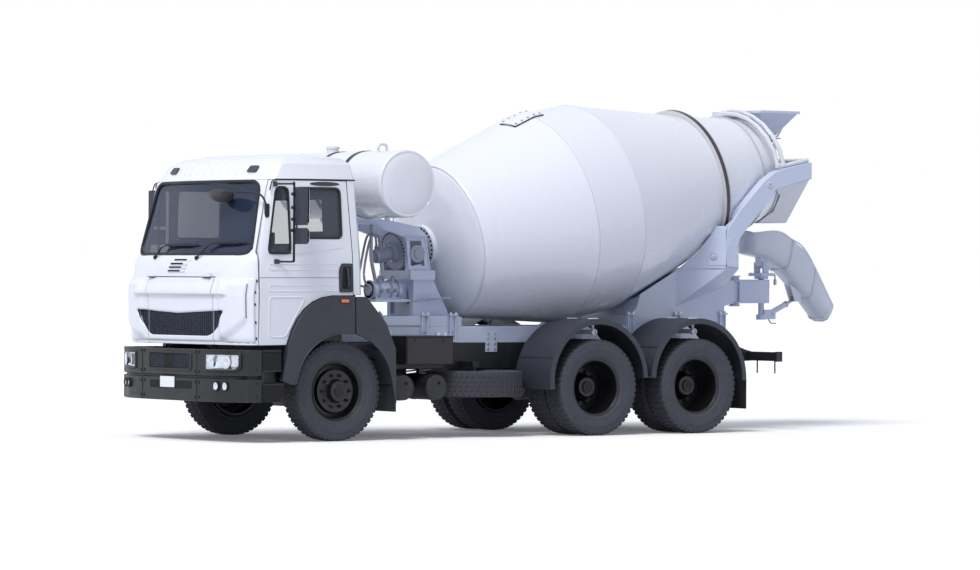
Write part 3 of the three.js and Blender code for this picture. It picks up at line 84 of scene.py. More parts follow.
# ------------------------------------------------------------------ studio
# A white sweep of floor under a broad soft key from ahead and above, with a bluish sky round
# it. The floor carries only the truck's own soft shadow. The camera stands far off on a long
# lens at chest height.
scene = bpy.context.scene
scene.view_settings.view_transform = "Standard"

LENS, SENSOR = 159.1, 36.0
CAMERA_PLACE = Vector((28.075, 38.57, 1.79))
YAW, PITCH, ROLL = math.radians(35.74), math.radians(0.201), math.radians(0.236)
backward = Vector((math.sin(YAW) * math.cos(PITCH), math.cos(YAW) * math.cos(PITCH), math.sin(PITCH)))
across = (-backward).cross(Vector((0, 0, 1))).normalized()
upward = across.cross(-backward)
right = math.cos(ROLL) * across + math.sin(ROLL) * upward
over = -math.sin(ROLL) * across + math.cos(ROLL) * upward
camera = bpy.data.objects.new("camera", bpy.data.cameras.new("camera"))
camera.data.lens, camera.data.sensor_width = LENS, SENSOR
camera.data.clip_end = 500
facing_rows = Matrix((right, over, backward)).transposed().to_4x4()
camera.matrix_world = Matrix.Translation(CAMERA_PLACE) @ facing_rows
scene.collection.objects.link(camera)
scene.camera = camera


def linear(code):
    """An sRGB hex colour as linear red, green, blue and alpha."""
    parts = [int(code[i:i + 2], 16) / 255 for i in (1, 3, 5)]
    return [c / 12.92 if c <= 0.04045 else ((c + 0.055) / 1.055) ** 2.4 for c in parts] + [1]


def add_node(tree, kind, inputs=None, **properties):
    """One node with its properties set and its inputs given a value or linked to a socket."""
    made = tree.nodes.new(kind)
    for name, value in properties.items():
        setattr(made, name, value)
    for name, value in (inputs or {}).items():
        if isinstance(value, bpy.types.NodeSocket):
            tree.links.new(value, made.inputs[name])
        else:
            made.inputs[name].default_value = value
    return made


TOWARDS_KEY = Vector((0.52, 0.27, 0.81)).normalized()
TOWARDS_SKY = Vector((0.92, 0.25, 0.30)).normalized()
SKY_LOW, SKY_HIGH, KEY_STRENGTH, KEY_ANGLE = 0.24, 0.86, 1.95, 24

world = bpy.data.worlds.new("sky_dome")
world.use_nodes = True
world.node_tree.nodes.clear()
sky = world.node_tree
rays = add_node(sky, "ShaderNodeLightPath")
seen = add_node(sky, "ShaderNodeMath", {0: rays.outputs["Is Camera Ray"],
                                        1: rays.outputs["Is Transmission Ray"]}, operation="MAXIMUM")
direction = add_node(sky, "ShaderNodeTexCoord").outputs["Generated"]
towards = add_node(sky, "ShaderNodeVectorMath", {0: direction, 1: TOWARDS_SKY}, operation="DOT_PRODUCT")
level = add_node(sky, "ShaderNodeMapRange", {"Value": towards.outputs["Value"], "From Min": -0.4,
                                             "From Max": 1.0, "To Min": SKY_LOW, "To Max": SKY_HIGH})
shine = add_node(sky, "ShaderNodeMix", {"Factor": rays.outputs["Is Glossy Ray"], 2: level.outputs[0],
                                        3: 1.0})
lit = add_node(sky, "ShaderNodeBackground", {"Color": linear("#f0f4ff"), "Strength": shine.outputs[0]})
plain = add_node(sky, "ShaderNodeBackground", {"Color": linear("#ffffff"), "Strength": 1.0})
mixed = add_node(sky, "ShaderNodeMixShader", {0: seen.outputs[0], 1: lit.outputs[0],
                                              2: plain.outputs[0]})
add_node(sky, "ShaderNodeOutputWorld", {"Surface": mixed.outputs[0]})
scene.world = world

key = bpy.data.objects.new("key", bpy.data.lights.new("key", "SUN"))
key.data.energy, key.data.angle = KEY_STRENGTH, math.radians(KEY_ANGLE)
key.matrix_world = TOWARDS_KEY.to_track_quat("Z", "Y").to_matrix().to_4x4()
scene.collection.objects.link(key)

REACH = 400
floor_mesh = bpy.data.meshes.new("floor")
floor_mesh.from_pydata([(-REACH, -REACH, 0), (REACH, -REACH, 0), (REACH, REACH, 0), (-REACH, REACH, 0)],
                       [], [(0, 1, 2, 3)])
floor = bpy.data.objects.new("floor", floor_mesh)
scene.collection.objects.link(floor)
# White painted board: the eye sees it white with the soft shadow, and it throws a dimmer,
# bluish light back up.
plaster = bpy.data.materials.new("white_painted_floor")
plaster.use_nodes = True
tree = plaster.node_tree
tree.nodes.clear()
rays = add_node(tree, "ShaderNodeLightPath")
watched = add_node(tree, "ShaderNodeMath", {0: rays.outputs["Is Camera Ray"],
                                            1: rays.outputs["Is Glossy Ray"]}, operation="MAXIMUM")
watched = add_node(tree, "ShaderNodeMath", {0: watched.outputs[0],
                                            1: rays.outputs["Is Transmission Ray"]},
                   operation="MAXIMUM")
dim = add_node(tree, "ShaderNodeBsdfDiffuse", {"Color": linear("#cfd3de")})
white = add_node(tree, "ShaderNodeBsdfDiffuse", {"Color": linear("#ffffff")})
haze = add_node(tree, "ShaderNodeEmission", {"Color": linear("#ffffff"), "Strength": 0.10})
bright = add_node(tree, "ShaderNodeAddShader", {0: white.outputs[0], 1: haze.outputs[0]})
both = add_node(tree, "ShaderNodeMixShader", {0: watched.outputs[0], 1: dim.outputs[0],
                                              2: bright.outputs[0]})
add_node(tree, "ShaderNodeOutputMaterial", {"Surface": both.outputs[0]})
floor_mesh.materials.append(plaster)
floor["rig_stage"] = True

# ------------------------------------------------------------------ frame rails and subframe
# Pressed channel rails in black chassis enamel, with the mixer's grey box-section subframe on
# top. Shear plates with hexagon bolts hold the two together.
def coated(name, colour, second, patch_mm, roughness, swing=0.06, grain_mm=0, relief_mm=0, **sockets):
    """A finish whose colour drifts between two tones over patches of a real size, with a gloss
    that drifts as well, and a fine relief of a real grain size and height."""
    made = bpy.data.materials.new(name)
    made.use_nodes = True
    tree = made.node_tree
    shader = tree.nodes["Principled BSDF"]
    place = add_node(tree, "ShaderNodeTexCoord").outputs["Object"]
    patches = add_node(tree, "ShaderNodeTexNoise",
                       {"Vector": place, "Scale": 1000 / patch_mm, "Detail": 5, "Roughness": 0.6})
    tone = add_node(tree, "ShaderNodeMix", {"Factor": patches.outputs["Fac"], 6: linear(colour),
                                            7: linear(second)}, data_type="RGBA")
    tree.links.new(tone.outputs[2], shader.inputs["Base Color"])
    gloss = add_node(tree, "ShaderNodeMapRange", {"Value": patches.outputs["Fac"], "From Min": 0.3,
                                                  "From Max": 0.7, "To Min": roughness - swing,
                                                  "To Max": roughness + swing})
    tree.links.new(gloss.outputs[0], shader.inputs["Roughness"])
    if grain_mm:
        grain = add_node(tree, "ShaderNodeTexNoise", {"Vector": place, "Scale": 1000 / grain_mm,
                                                      "Detail": 2})
        relief = add_node(tree, "ShaderNodeBump",
                          {"Height": grain.outputs["Fac"], "Distance": relief_mm / 1000,
                           "Strength": 1.0})
        tree.links.new(relief.outputs[0], shader.inputs["Normal"])
    for socket, value in sockets.items():
        shader.inputs[socket.replace("_", " ")].default_value = value
    return made


def place(station, y, z):
    """A point given in millimetres behind the front axle, to the left and up."""
    return Vector((3065 - station, y, z)) / 1000


def ease(piece, edge, crease):
    """Rounds the piece's edges with a live bevel."""
    bevel = piece.modifiers.new("rounded_edges", "BEVEL")
    bevel.width, bevel.segments = edge, 2
    bevel.limit_method, bevel.angle_limit = "ANGLE", math.radians(crease)
    bevel.use_clamp_overlap = False
    bevel.harden_normals = True


def shown(name, work, material, rides, edge=0, crease=35):
    """A finished piece made from a bmesh: merged, faces outward, riding a node's body."""
    bmesh.ops.remove_doubles(work, verts=work.verts, dist=1e-6)
    bmesh.ops.recalc_face_normals(work, faces=work.faces)
    for face in work.faces:
        face.smooth = True
    mesh = bpy.data.meshes.new(name)
    work.to_mesh(mesh)
    work.free()
    mesh.set_sharp_from_angle(angle=math.radians(crease))
    mesh.materials.append(material)
    piece = bpy.data.objects.new(name, mesh)
    scene.collection.objects.link(piece)
    if edge:
        ease(piece, edge / 1000, crease)
    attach(piece, frame["nodes"][rides]["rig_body"])
    return piece


def refined(node, material, edge=4, crease=35, join=True):
    """The frame's solid with its facets joined up and its edges rounded."""
    source = frame["nodes"][node]
    mesh = source.data.copy()
    mesh.name = node + "_shell"
    mesh.materials.clear()
    mesh.materials.append(material)
    work = bmesh.new()
    work.from_mesh(mesh)
    bmesh.ops.remove_doubles(work, verts=work.verts, dist=2e-5)
    if join:
        bmesh.ops.dissolve_limit(work, angle_limit=math.radians(0.6), verts=work.verts,
                                 edges=work.edges)
    for face in work.faces:
        face.smooth = True
    work.to_mesh(mesh)
    work.free()
    if "custom_normal" in mesh.attributes:
        mesh.attributes.remove(mesh.attributes["custom_normal"])
    mesh.set_sharp_from_angle(angle=math.radians(crease))
    piece = bpy.data.objects.new(mesh.name, mesh)
    scene.collection.objects.link(piece)
    if edge:
        ease(piece, edge / 1000, crease)
    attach(piece, source["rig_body"])
    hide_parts(node)
    return piece


def slab(work, stations, ys, zs):
    """A block between two stations, two side positions and two heights."""
    corners = [place(s, y, z) for s in stations for y in ys for z in zs]
    verts = [work.verts.new(c) for c in corners]
    for quad in ((0, 1, 3, 2), (4, 6, 7, 5), (0, 4, 5, 1), (2, 3, 7, 6), (0, 2, 6, 4), (1, 5, 7, 3)):
        work.faces.new([verts[i] for i in quad])


def plate(work, outline, depth):
    """An outline of points carried along a vector in millimetres to make a plate."""
    shift = Vector(depth) / 1000
    near = [work.verts.new(p) for p in outline]
    far = [work.verts.new(p + shift) for p in outline]
    work.faces.new(near)
    work.faces.new(far[::-1])
    for i in range(len(near)):
        j = (i + 1) % len(near)
        work.faces.new((near[i], far[i], far[j], near[j]))


def turned(work, profile, origin, axis, segments=48):
    """A profile of (distance along, radius) in millimetres turned about an axis."""
    axis = axis.normalized()
    side = axis.orthogonal().normalized()
    other = axis.cross(side)
    rings = []
    for along, radius in profile:
        middle = origin + axis * along / 1000
        if radius <= 0:
            rings.append([work.verts.new(middle)] * segments)
            continue
        rings.append([work.verts.new(middle + (side * math.cos(a) + other * math.sin(a))
                                     * radius / 1000)
                      for a in (2 * math.pi * k / segments for k in range(segments))])
    for low, high in zip(rings, rings[1:]):
        for k in range(segments):
            n = (k + 1) % segments
            corners = list(dict.fromkeys((low[k], low[n], high[n], high[k])))
            if len(corners) > 2:
                work.faces.new(corners)


def swept(work, points, section, up=Vector((0, 0, 1)), closed=False):
    """A section of (sideways, upwards) offsets in millimetres carried along a path."""
    rings = []
    count = len(points)
    for i, p in enumerate(points):
        before = points[i - 1] if i or closed else p
        after = points[(i + 1) % count] if i < count - 1 or closed else p
        ahead = (after - before).normalized()
        side = ahead.cross(up)
        side = side.normalized() if side.length > 1e-4 else ahead.orthogonal().normalized()
        rise = side.cross(ahead).normalized()
        rings.append([work.verts.new(p + (side * a + rise * b) / 1000) for a, b in section])
    pairs = list(zip(rings, rings[1:])) + ([(rings[-1], rings[0])] if closed else [])
    for low, high in pairs:
        for k in range(len(section)):
            n = (k + 1) % len(section)
            work.faces.new((low[k], low[n], high[n], high[k]))
    if not closed:
        work.faces.new(rings[0][::-1])
        work.faces.new(rings[-1])


def round_section(radius, sides=12):
    """A circle of (sideways, upwards) offsets."""
    return [(radius * math.cos(2 * math.pi * k / sides), radius * math.sin(2 * math.pi * k / sides))
            for k in range(sides)]


def smooth_path(points, steps=6):
    """A curve through the points with a few steps between each two."""
    padded = [points[0] * 2 - points[1], *points, points[-1] * 2 - points[-2]]
    path = []
    for a, b, c, d in zip(padded, padded[1:], padded[2:], padded[3:]):
        for k in range(steps):
            t = k / steps
            path.append(0.5 * ((2 * b) + (c - a) * t + (2 * a - 5 * b + 4 * c - d) * t * t
                               + (3 * b - a - 3 * c + d) * t ** 3))
    return path + [points[-1]]


def tree_inputs(tree, **kinds):
    """Opens named inputs on a geometry tree and returns their socket identifiers."""
    tree.interface.new_socket("Geometry", in_out="OUTPUT", socket_type="NodeSocketGeometry")
    tree.interface.new_socket("Geometry", in_out="INPUT", socket_type="NodeSocketGeometry")
    return {name: tree.interface.new_socket(name, in_out="INPUT", socket_type=kind).identifier
            for name, kind in kinds.items()}


def grown(name, mesh, tree, values, material, rides):
    """Runs a geometry tree on a mesh once and keeps the result as a plain piece."""
    seed = bpy.data.objects.new(name + "_seed", mesh)
    scene.collection.objects.link(seed)
    modifier = seed.modifiers.new("grow", "NODES")
    modifier.node_group = tree
    for identifier, value in values.items():
        modifier[identifier] = value
    bpy.context.view_layer.update()
    made = bpy.data.meshes.new_from_object(seed.evaluated_get(bpy.context.evaluated_depsgraph_get()))
    bpy.data.objects.remove(seed)
    work = bmesh.new()
    work.from_mesh(made)
    return shown(name, work, material, rides)


def face_along(tree, **properties):
    """A rotation that turns a shape's Z to each point's "facing"."""
    facing = add_node(tree, "GeometryNodeInputNamedAttribute", {"Name": "facing"},
                      data_type="FLOAT_VECTOR")
    turn = add_node(tree, "FunctionNodeAlignRotationToVector",
                    {"Vector": facing.outputs["Attribute"]}, axis="Z", **properties)
    return turn.outputs[0]


def copied(tree, given, points, shape, rotation):
    """Ends a tree: one shape at each point, turned, made real and given its finish."""
    copies = add_node(tree, "GeometryNodeInstanceOnPoints",
                      {"Points": points, "Instance": shape, "Rotation": rotation})
    real = add_node(tree, "GeometryNodeRealizeInstances", {0: copies.outputs[0]})
    coloured = add_node(tree, "GeometryNodeSetMaterial",
                        {"Geometry": real.outputs[0], "Material": given.outputs["Finish"]})
    add_node(tree, "NodeGroupOutput", {"Geometry": coloured.outputs[0]})


def faced(name, spots):
    """A mesh of points, each with its own "facing", from (point, direction) spots."""
    mesh = bpy.data.meshes.new(name + "_spots")
    mesh.from_pydata([p for p, _ in spots], [], [])
    ways = mesh.attributes.new("facing", "FLOAT_VECTOR", "POINT")
    for i, (_, way) in enumerate(spots):
        ways.data[i].vector = way
    return mesh


# Hexagon bolt heads on washers: one at each point, turned to face along the point's "facing".
bolt_tree = bpy.data.node_groups.new("hexagon_bolts", "GeometryNodeTree")
bolt_inputs = tree_inputs(bolt_tree, Across="NodeSocketFloat", Height="NodeSocketFloat",
                          Finish="NodeSocketMaterial")
given = add_node(bolt_tree, "NodeGroupInput")
head = add_node(bolt_tree, "GeometryNodeMeshCylinder",
                {"Vertices": 6, "Radius": given.outputs["Across"], "Depth": given.outputs["Height"]})
wide = add_node(bolt_tree, "ShaderNodeMath", {0: given.outputs["Across"], 1: 1.3}, operation="MULTIPLY")
thin = add_node(bolt_tree, "ShaderNodeMath", {0: given.outputs["Height"], 1: 0.3}, operation="MULTIPLY")
washer = add_node(bolt_tree, "GeometryNodeMeshCylinder",
                  {"Vertices": 12, "Radius": wide.outputs[0], "Depth": thin.outputs[0]})
fastener = add_node(bolt_tree, "GeometryNodeJoinGeometry")
bolt_tree.links.new(head.outputs["Mesh"], fastener.inputs[0])
bolt_tree.links.new(washer.outputs["Mesh"], fastener.inputs[0])
spots = add_node(bolt_tree, "GeometryNodeMeshToPoints", {"Mesh": given.outputs["Geometry"]})
copied(bolt_tree, given, spots.outputs[0], fastener.outputs[0], face_along(bolt_tree))


def bolted(name, spots, across, height, material, rides):
    """Bolt heads at (point, direction) spots; sizes in millimetres."""
    return grown(name, faced(name, spots), bolt_tree,
                 {bolt_inputs["Across"]: across / 2000, bolt_inputs["Height"]: height / 1000,
                  bolt_inputs["Finish"]: material}, material, rides)


BOTH_SIDES = (("left", 1), ("right", -1))
AHEAD, Y_AXIS, UP = Vector((1, 0, 0)), Vector((0, 1, 0)), Vector((0, 0, 1))
RAIL_FACE = 431  # the rail's outer side, with a hair's gap
# Near black with a soft sheen along edges.
chassis_enamel = coated("baked_black_chassis_enamel", "#141518", "#1c1e22", 300, 0.45, grain_mm=4,
                        relief_mm=0.1)
# Pale blue-grey, evenly sprayed, with a faint gloss.
mixer_grey = coated("pale_grey_two_pack_paint", "#ccd5ea", "#c5cee4", 500, 0.34, grain_mm=6,
                    relief_mm=0.06, Coat_Weight=0.25)
# Bright bolts and plates, a little cloudy.
zinc = coated("bright_zinc_plate", "#cfd2d8", "#bfc3ca", 40, 0.3, Metallic=1.0)
for side, way in BOTH_SIDES:
    refined("frame_rail_" + side, chassis_enamel)
    refined("subframe_" + side, mixer_grey, 6)
    work = bmesh.new()
    spots = []
    for station in (1080, 1790, 2450, 3060, 3640, 4160, 4390, 4830, 5420):
        slab(work, (station - 75, station + 75), (way * RAIL_FACE, way * 443), (900, 1120))
        spots += [(place(station + ds, way * 444, z), Vector((0, way, 0))) for ds in (-45, 45)
                  for z in (930, 985, 1045, 1095)]
    shown("shear_plates_" + side, work, mixer_grey, "subframe_" + side, 2)
    bolted("shear_bolts_" + side, spots, 26, 12, zinc, "subframe_" + side)
    spots = [(place(s, way * RAIL_FACE, z), Vector((0, way, 0))) for s in range(-900, 5600, 260)
             for z in (765, 955)]
    bolted("rail_bolts_" + side, spots, 20, 10, chassis_enamel, "frame_rail_" + side)
refined("rear_crossmember", chassis_enamel)

# ------------------------------------------------------------------ rear underrun plate
# The underrun beam's red painted ends, the sloping plate stays that hold it to the rails with
# two rods hanging down on each side, and the plated bolts through its face.

# A small dab of signal red at the beam's ends.
red_edge = coated("signal_red_edge_paint", "#a31d22", "#8d191e", 40, 0.4)
# Dark oily steel that catches a thin highlight.
steel_dark = coated("oiled_dark_steel", "#2a2c31", "#3a3c42", 60, 0.42, grain_mm=3, relief_mm=0.05,
                    Metallic=0.7)


def route(*points, way=1):
    """Places for (station, y, z) points; way -1 swaps them to the truck's right."""
    return [place(station, way * y, z) for station, y, z in points]


for side, way in BOTH_SIDES:
    work = bmesh.new()
    outline = [place(5978, way * y, z) for y, z in ((1118, 782), (1118, 878), (1112, 878), (1112, 782))]
    plate(work, outline, (80, 0, 0))
    shown("underrun_end_" + side, work, red_edge, "rear_crossmember", 1)
work = bmesh.new()
for way in (1, -1):
    outline = [place(s, way * 560, z) for s, z in ((5480, 990), (5640, 990), (5900, 900), (5975, 885),
                                                   (5975, 776), (5820, 770), (5640, 830), (5480, 830))]
    plate(work, outline, (0, way * 12, 0))
    for y in (700, 1010):
        swept(work, route((5960, way * y, 785), (5960, way * y, 640)), round_section(9, 8))
    slab(work, (5898, 5980), (way * 1080, way * 1119), (774, 886))
shown("underrun_brackets", work, chassis_enamel, "rear_crossmember", 3)
spots = [(place(5981, y, z), Vector((-1, 0, 0))) for y in (-980, -420, 420, 980) for z in (805, 855)]
bolted("underrun_bolts", spots, 24, 12, zinc, "rear_crossmember")

# ------------------------------------------------------------------ engine, shaft and axles
# Cast and forged running gear in black enamel between the rails: engine, shaft, axles, bogie
# and steering knuckles, with plated bolts at the shaft's joints.
for node in ("engine", "propshaft", "front_axle", "rear_bogie", "knuckle_left", "knuckle_right"):
    refined(node, chassis_enamel, 5)
spots = [(place(s, way * 60, 640), Vector((0, way, 0))) for s in (1300, 3000) for way in (1, -1)]
bolted("shaft_joint_bolts", spots, 22, 12, zinc, "propshaft")

# ------------------------------------------------------------------ tyres
# Heavy block-tread tyres: a moulded carcass with rim bead, sidewall ribs and a shoulder, and
# rubber blocks all round, open at the shoulders.

# Dull dark grey sidewalls.
rubber = coated("black_tyre_rubber", "#454650", "#3a3b43", 60, 0.74, grain_mm=2, relief_mm=0.1)
# The same rubber, duller and browner with dust.
tread_rubber = coated("dusty_tread_rubber", "#47444d", "#37353d", 25, 0.85, grain_mm=2, relief_mm=0.2)
AXLE_Z, PITCHES = 522, 52
SIDEWALL = [(104, 309), (112, 322), (121, 334), (124, 338), (123, 344), (131, 372), (137, 400),
            (139.5, 425), (139, 450), (137.5, 452), (137.5, 458), (138, 460), (135, 482), (129, 498),
            (121, 507)]
TREAD = [(104, 511), (52, 512.5), (0, 513)]

# Turned copies: the incoming mesh repeated round the Z axis.
ring_tree = bpy.data.node_groups.new("turned_copies", "GeometryNodeTree")
ring_inputs = tree_inputs(ring_tree, Count="NodeSocketInt", Finish="NodeSocketMaterial")
given = add_node(ring_tree, "NodeGroupInput")
centres = add_node(ring_tree, "GeometryNodePoints", {"Count": given.outputs["Count"]})
index = add_node(ring_tree, "GeometryNodeInputIndex")
share = add_node(ring_tree, "ShaderNodeMath", {0: index.outputs[0], 1: given.outputs["Count"]},
                 operation="DIVIDE")
angle = add_node(ring_tree, "ShaderNodeMath", {0: share.outputs[0], 1: 2 * math.pi},
                 operation="MULTIPLY")
spin = add_node(ring_tree, "ShaderNodeCombineXYZ", {"Z": angle.outputs[0]})
copied(ring_tree, given, centres.outputs[0], given.outputs["Geometry"], spin.outputs[0])


def ringed(name, work, count, origin, axis, material, rides):
    """Copies of a shape, modelled round +Z at the origin, set round an axis elsewhere."""
    mesh = bpy.data.meshes.new(name + "_unit")
    work.to_mesh(mesh)
    work.free()
    piece = grown(name, mesh, ring_tree, {ring_inputs["Count"]: count, ring_inputs["Finish"]: material},
                  material, rides)
    piece.data.transform(Matrix.Translation(origin) @ axis.to_track_quat("Z", "Y").to_matrix().to_4x4())
    return piece


def lug(work, ys, radii, sweep, slant):
    """One rubber block between two side positions, over a share of a pitch, smaller on top."""
    pitch = 2 * math.pi / PITCHES
    corners = []
    for radius, trim in ((radii[0], 0.0), (radii[1], 0.06)):
        for y, lean in ((ys[0], 0), (ys[1], slant)):
            for part in sweep:
                turn_by = pitch * (part + lean + (trim if part == sweep[0] else -trim))
                corners.append(Vector((math.cos(turn_by) * radius, math.sin(turn_by) * radius,
                                       y)) / 1000)
    verts = [work.verts.new(c) for c in corners]
    for quad in ((0, 1, 3, 2), (4, 6, 7, 5), (0, 4, 5, 1), (2, 3, 7, 6), (0, 2, 6, 4), (1, 5, 7, 3)):
        work.faces.new([verts[i] for i in quad])


def tyre(name, rides, origin, axis, offsets):
    """Tyres side by side on one wheel; offsets are their middles along the axis."""
    work = bmesh.new()
    for middle in offsets:
        half = SIDEWALL + TREAD
        profile = [(middle - y, r) for y, r in half] + [(middle + y, r) for y, r in half[-2::-1]]
        turned(work, profile, origin, axis, 96)
    shown(name + "_carcass", work, rubber, rides, crease=50)
    work = bmesh.new()
    for middle in offsets:
        for sign in (1, -1):
            lug(work, (middle + sign * 128, middle + sign * 78), (500, 519), (0.04, 0.80), 0.12 * sign)
            lug(work, (middle + sign * 70, middle + sign * 30), (505, 522), (0.30, 0.92), -0.14 * sign)
        lug(work, (middle - 22, middle + 22), (505, 522), (0.02, 0.80), 0.12)
    ringed(name + "_tread", work, PITCHES, origin, axis, tread_rubber, rides)


REAR_AXLES = (3300, 4680)
WHEELS = [(f"front_tyre_{side}", f"front_rim_{side}", 0, way, (990,)) for side, way in BOTH_SIDES]
WHEELS += [(f"rear_tyres_{n}_{side}", f"rear_rim_{n}_{side}", REAR_AXLES[n - 1], way, (765, 1110))
           for n in (1, 2) for side, way in BOTH_SIDES]
for node, rim_node, station, way, middles in WHEELS:
    tyre(node, node, place(station, 0, AXLE_Z), Y_AXIS * way, middles)
    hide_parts(node)

# ------------------------------------------------------------------ rims, hubs and wheel nuts
# Rolled steel rims in satin black enamel with gutter rings, a deep disc, a forged hub and a
# ring of ten nuts on studs.

# Almost black with a satin highlight round the gutters.
rim_enamel = coated("satin_black_wheel_enamel", "#0e0e11", "#15151a", 90, 0.36, grain_mm=4,
                    relief_mm=0.05)
# Dull dark castings and nuts.
hub_steel = coated("dull_hub_casting", "#262426", "#1c1b1d", 40, 0.5, grain_mm=3, relief_mm=0.2,
                   Metallic=0.35)
NUTS, BOSS_TURN = 10, 0.314  # nuts on a wheel, and half the angle between two in radians
FRONT_RIM = [(870, 306), (870, 290), (1000, 289), (1004, 250), (1012, 232), (1062, 222), (1066, 205),
             (1070, 128), (1078, 120), (1100, 112), (1140, 104), (1146, 96), (1146, 70), (1152, 66),
             (1152, 30), (1158, 26), (1158, 0)]
FRONT_GUTTER = [(1004, 289), (1060, 288), (1075, 296), (1082, 308), (1094, 322), (1098, 321),
                (1099, 314), (1088, 300), (1078, 288), (1060, 281), (1004, 282)]
REAR_RIM = [(640, 306), (640, 290), (905, 288), (912, 215), (925, 204), (925, 160), (940, 152),
            (1010, 118), (1036, 108), (1042, 100), (1042, 72), (1050, 68), (1050, 30), (1056, 26),
            (1056, 0)]
REAR_GUTTER = [(905, 288), (1170, 288), (1190, 296), (1205, 306), (1212, 322), (1217, 322), (1217, 312),
               (1208, 298), (1196, 286), (1176, 281), (920, 280)]
for node, rim_node, station, way, middles in WHEELS:
    front = station == 0
    origin, axis = place(station, 0, AXLE_Z), Y_AXIS * way
    work = bmesh.new()
    turned(work, FRONT_RIM if front else REAR_RIM, origin, axis, 72)
    turned(work, FRONT_GUTTER if front else REAR_GUTTER, origin, axis, 72)
    piece = shown(rim_node + "_disc", work, rim_enamel, rim_node, crease=28)
    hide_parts(rim_node)
    face, circle = (1066, 168) if front else (925, 178)
    work = bmesh.new()
    turned(work, [(face, 0), (face, 20), (face + 8, 19), (face + 8, 16), (face + 30, 15),
                  (face + 33, 12), (face + 33, 9), (face + 48, 9), (face + 50, 7), (face + 50, 0)],
           Vector((circle, 0, 0)) / 1000, UP, 8)
    ringed(rim_node + "_nuts", work, NUTS, origin, axis, hub_steel, rim_node)
    if front:
        work = bmesh.new()
        turned(work, [(face - 5, 0), (face - 5, 34), (face + 3, 32), (face + 3, 24), (face + 4, 0)],
               Vector((150 * math.cos(BOSS_TURN), 150 * math.sin(BOSS_TURN), 0)) / 1000, UP, 10)
        ringed(rim_node + "_bosses", work, NUTS, origin, axis, rim_enamel, rim_node)
    work = bmesh.new()
    turned(work, [(1150, 60), (1160, 58), (1163, 50), (1163, 20), (1168, 18), (1168, 0)] if front else
           [(1046, 62), (1058, 60), (1061, 50), (1061, 22), (1066, 20), (1066, 0)], origin, axis, 32)
    shown(rim_node + "_cap", work, hub_steel, rim_node, crease=30)

spare_centre = place(2060, 665, 570)
tyre("spare_tyre", "spare_wheel", spare_centre, Vector((0, 0, -1)), (0,))
work = bmesh.new()
turned(work, [(-110, 306), (-110, 290), (20, 288), (26, 240), (40, 232), (40, 150), (30, 140), (30, 0)],
       spare_centre, Vector((0, 0, -1)), 64)
shown("spare_rim", work, rim_enamel, "spare_wheel", crease=28)
work = bmesh.new()
slab(work, (2020, 2100), (430.5, 700), (740, 800))
turned(work, [(0, 28), (190, 28), (190, 0)], place(2060, 665, 560), UP, 16)
piece = shown("spare_carrier", work, chassis_enamel, "spare_wheel", 3)
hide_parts("spare_wheel")

# ------------------------------------------------------------------ cab shell and trim
# A pressed-steel cab in white acrylic, lined with dark moulded trim, with black rubber drip
# rails and ribs pressed into the front of the roof.

# Smooth glossy white with a breath of blue.
cab_white = coated("white_cab_acrylic", "#eef0f7", "#eaecf4", 900, 0.24, 0.03, grain_mm=5,
                   relief_mm=0.02, Coat_Weight=0.6)
# Dark soft plastic inside the cab.
trim = coated("moulded_cab_trim", "#3a434d", "#323940", 80, 0.7, grain_mm=1.5, relief_mm=0.2)
# Matt black lines round glass and doors.
seal_rubber = coated("black_seal_rubber", "#17181b", "#1f2023", 50, 0.6, grain_mm=2, relief_mm=0.1)
# Dark grey-blue moulding with a fine grain.
charcoal = coated("moulded_charcoal_polyethylene", "#32353f", "#2c2f38", 200, 0.5, grain_mm=2,
                  relief_mm=0.12)
CAB_MIDDLE = place(-400, 0, 2000)
for node in ("cab_front", "cab_back", "cab_roof", "door_left", "door_right", "front_flap"):
    piece = refined(node, cab_white, 5)
    piece.data.materials.append(trim)
    for face in piece.data.polygons:
        inwards = face.normal.dot(CAB_MIDDLE - face.center)
        face.material_index = 1 if inwards > 0.25 * (CAB_MIDDLE - face.center).length else 0
refined("cab_floor", trim, 3)

# Height, half width, and the stations of the corner's start, the nose and the front's middle.
SKIN = [(1005, 1192, -1040, -1198, -1250), (1510, 1200, -1040, -1206, -1262),
        (1850, 1196, -990, -1170, -1255), (1950, 1192, -960, -1100, -1190),
        (2700, 1150, -790, -905, -990), (2880, 1100, -660, -775, -855), (2945, 990, -560, -650, -735)]
CORNER = 320


def skin_station(y, z):
    """The station of the cab's front skin at a side position and a height."""
    for low, high in zip(SKIN, SKIN[1:]):
        if z <= high[0]:
            break
    t = (z - low[0]) / (high[0] - low[0])
    side, knee, nose, front = (a + (b - a) * t for a, b in zip(low[1:], high[1:]))
    y, flat = abs(y), side - CORNER
    if y <= flat * 0.45:
        return front + 8 * y / (flat * 0.45)
    if y <= flat:
        return front + 8 + (nose - front - 8) * (y - flat * 0.45) / (flat * 0.55)
    return knee + (nose - knee) * math.sqrt(max(0, 1 - ((y - flat) / CORNER) ** 2))


def side_y(z):
    """How far out the cab's side is at a height."""
    for low, high in zip(SKIN, SKIN[1:]):
        if z <= high[0]:
            break
    return low[1] + (high[1] - low[1]) * (z - low[0]) / (high[0] - low[0])


def on_front(y, z, proud=0):
    """A point on the front skin, moved out along the skin by a distance."""
    station = skin_station(y, z)
    slope = (skin_station(y + 4, z) - skin_station(y - 4, z)) / 8
    length = math.hypot(1, slope)
    return place(station - proud / length, y + proud * slope / length, z)


def on_side(station, z, way=1, proud=0):
    """A point on the side skin, moved out by a distance."""
    return place(station, way * (side_y(z) + proud), z)


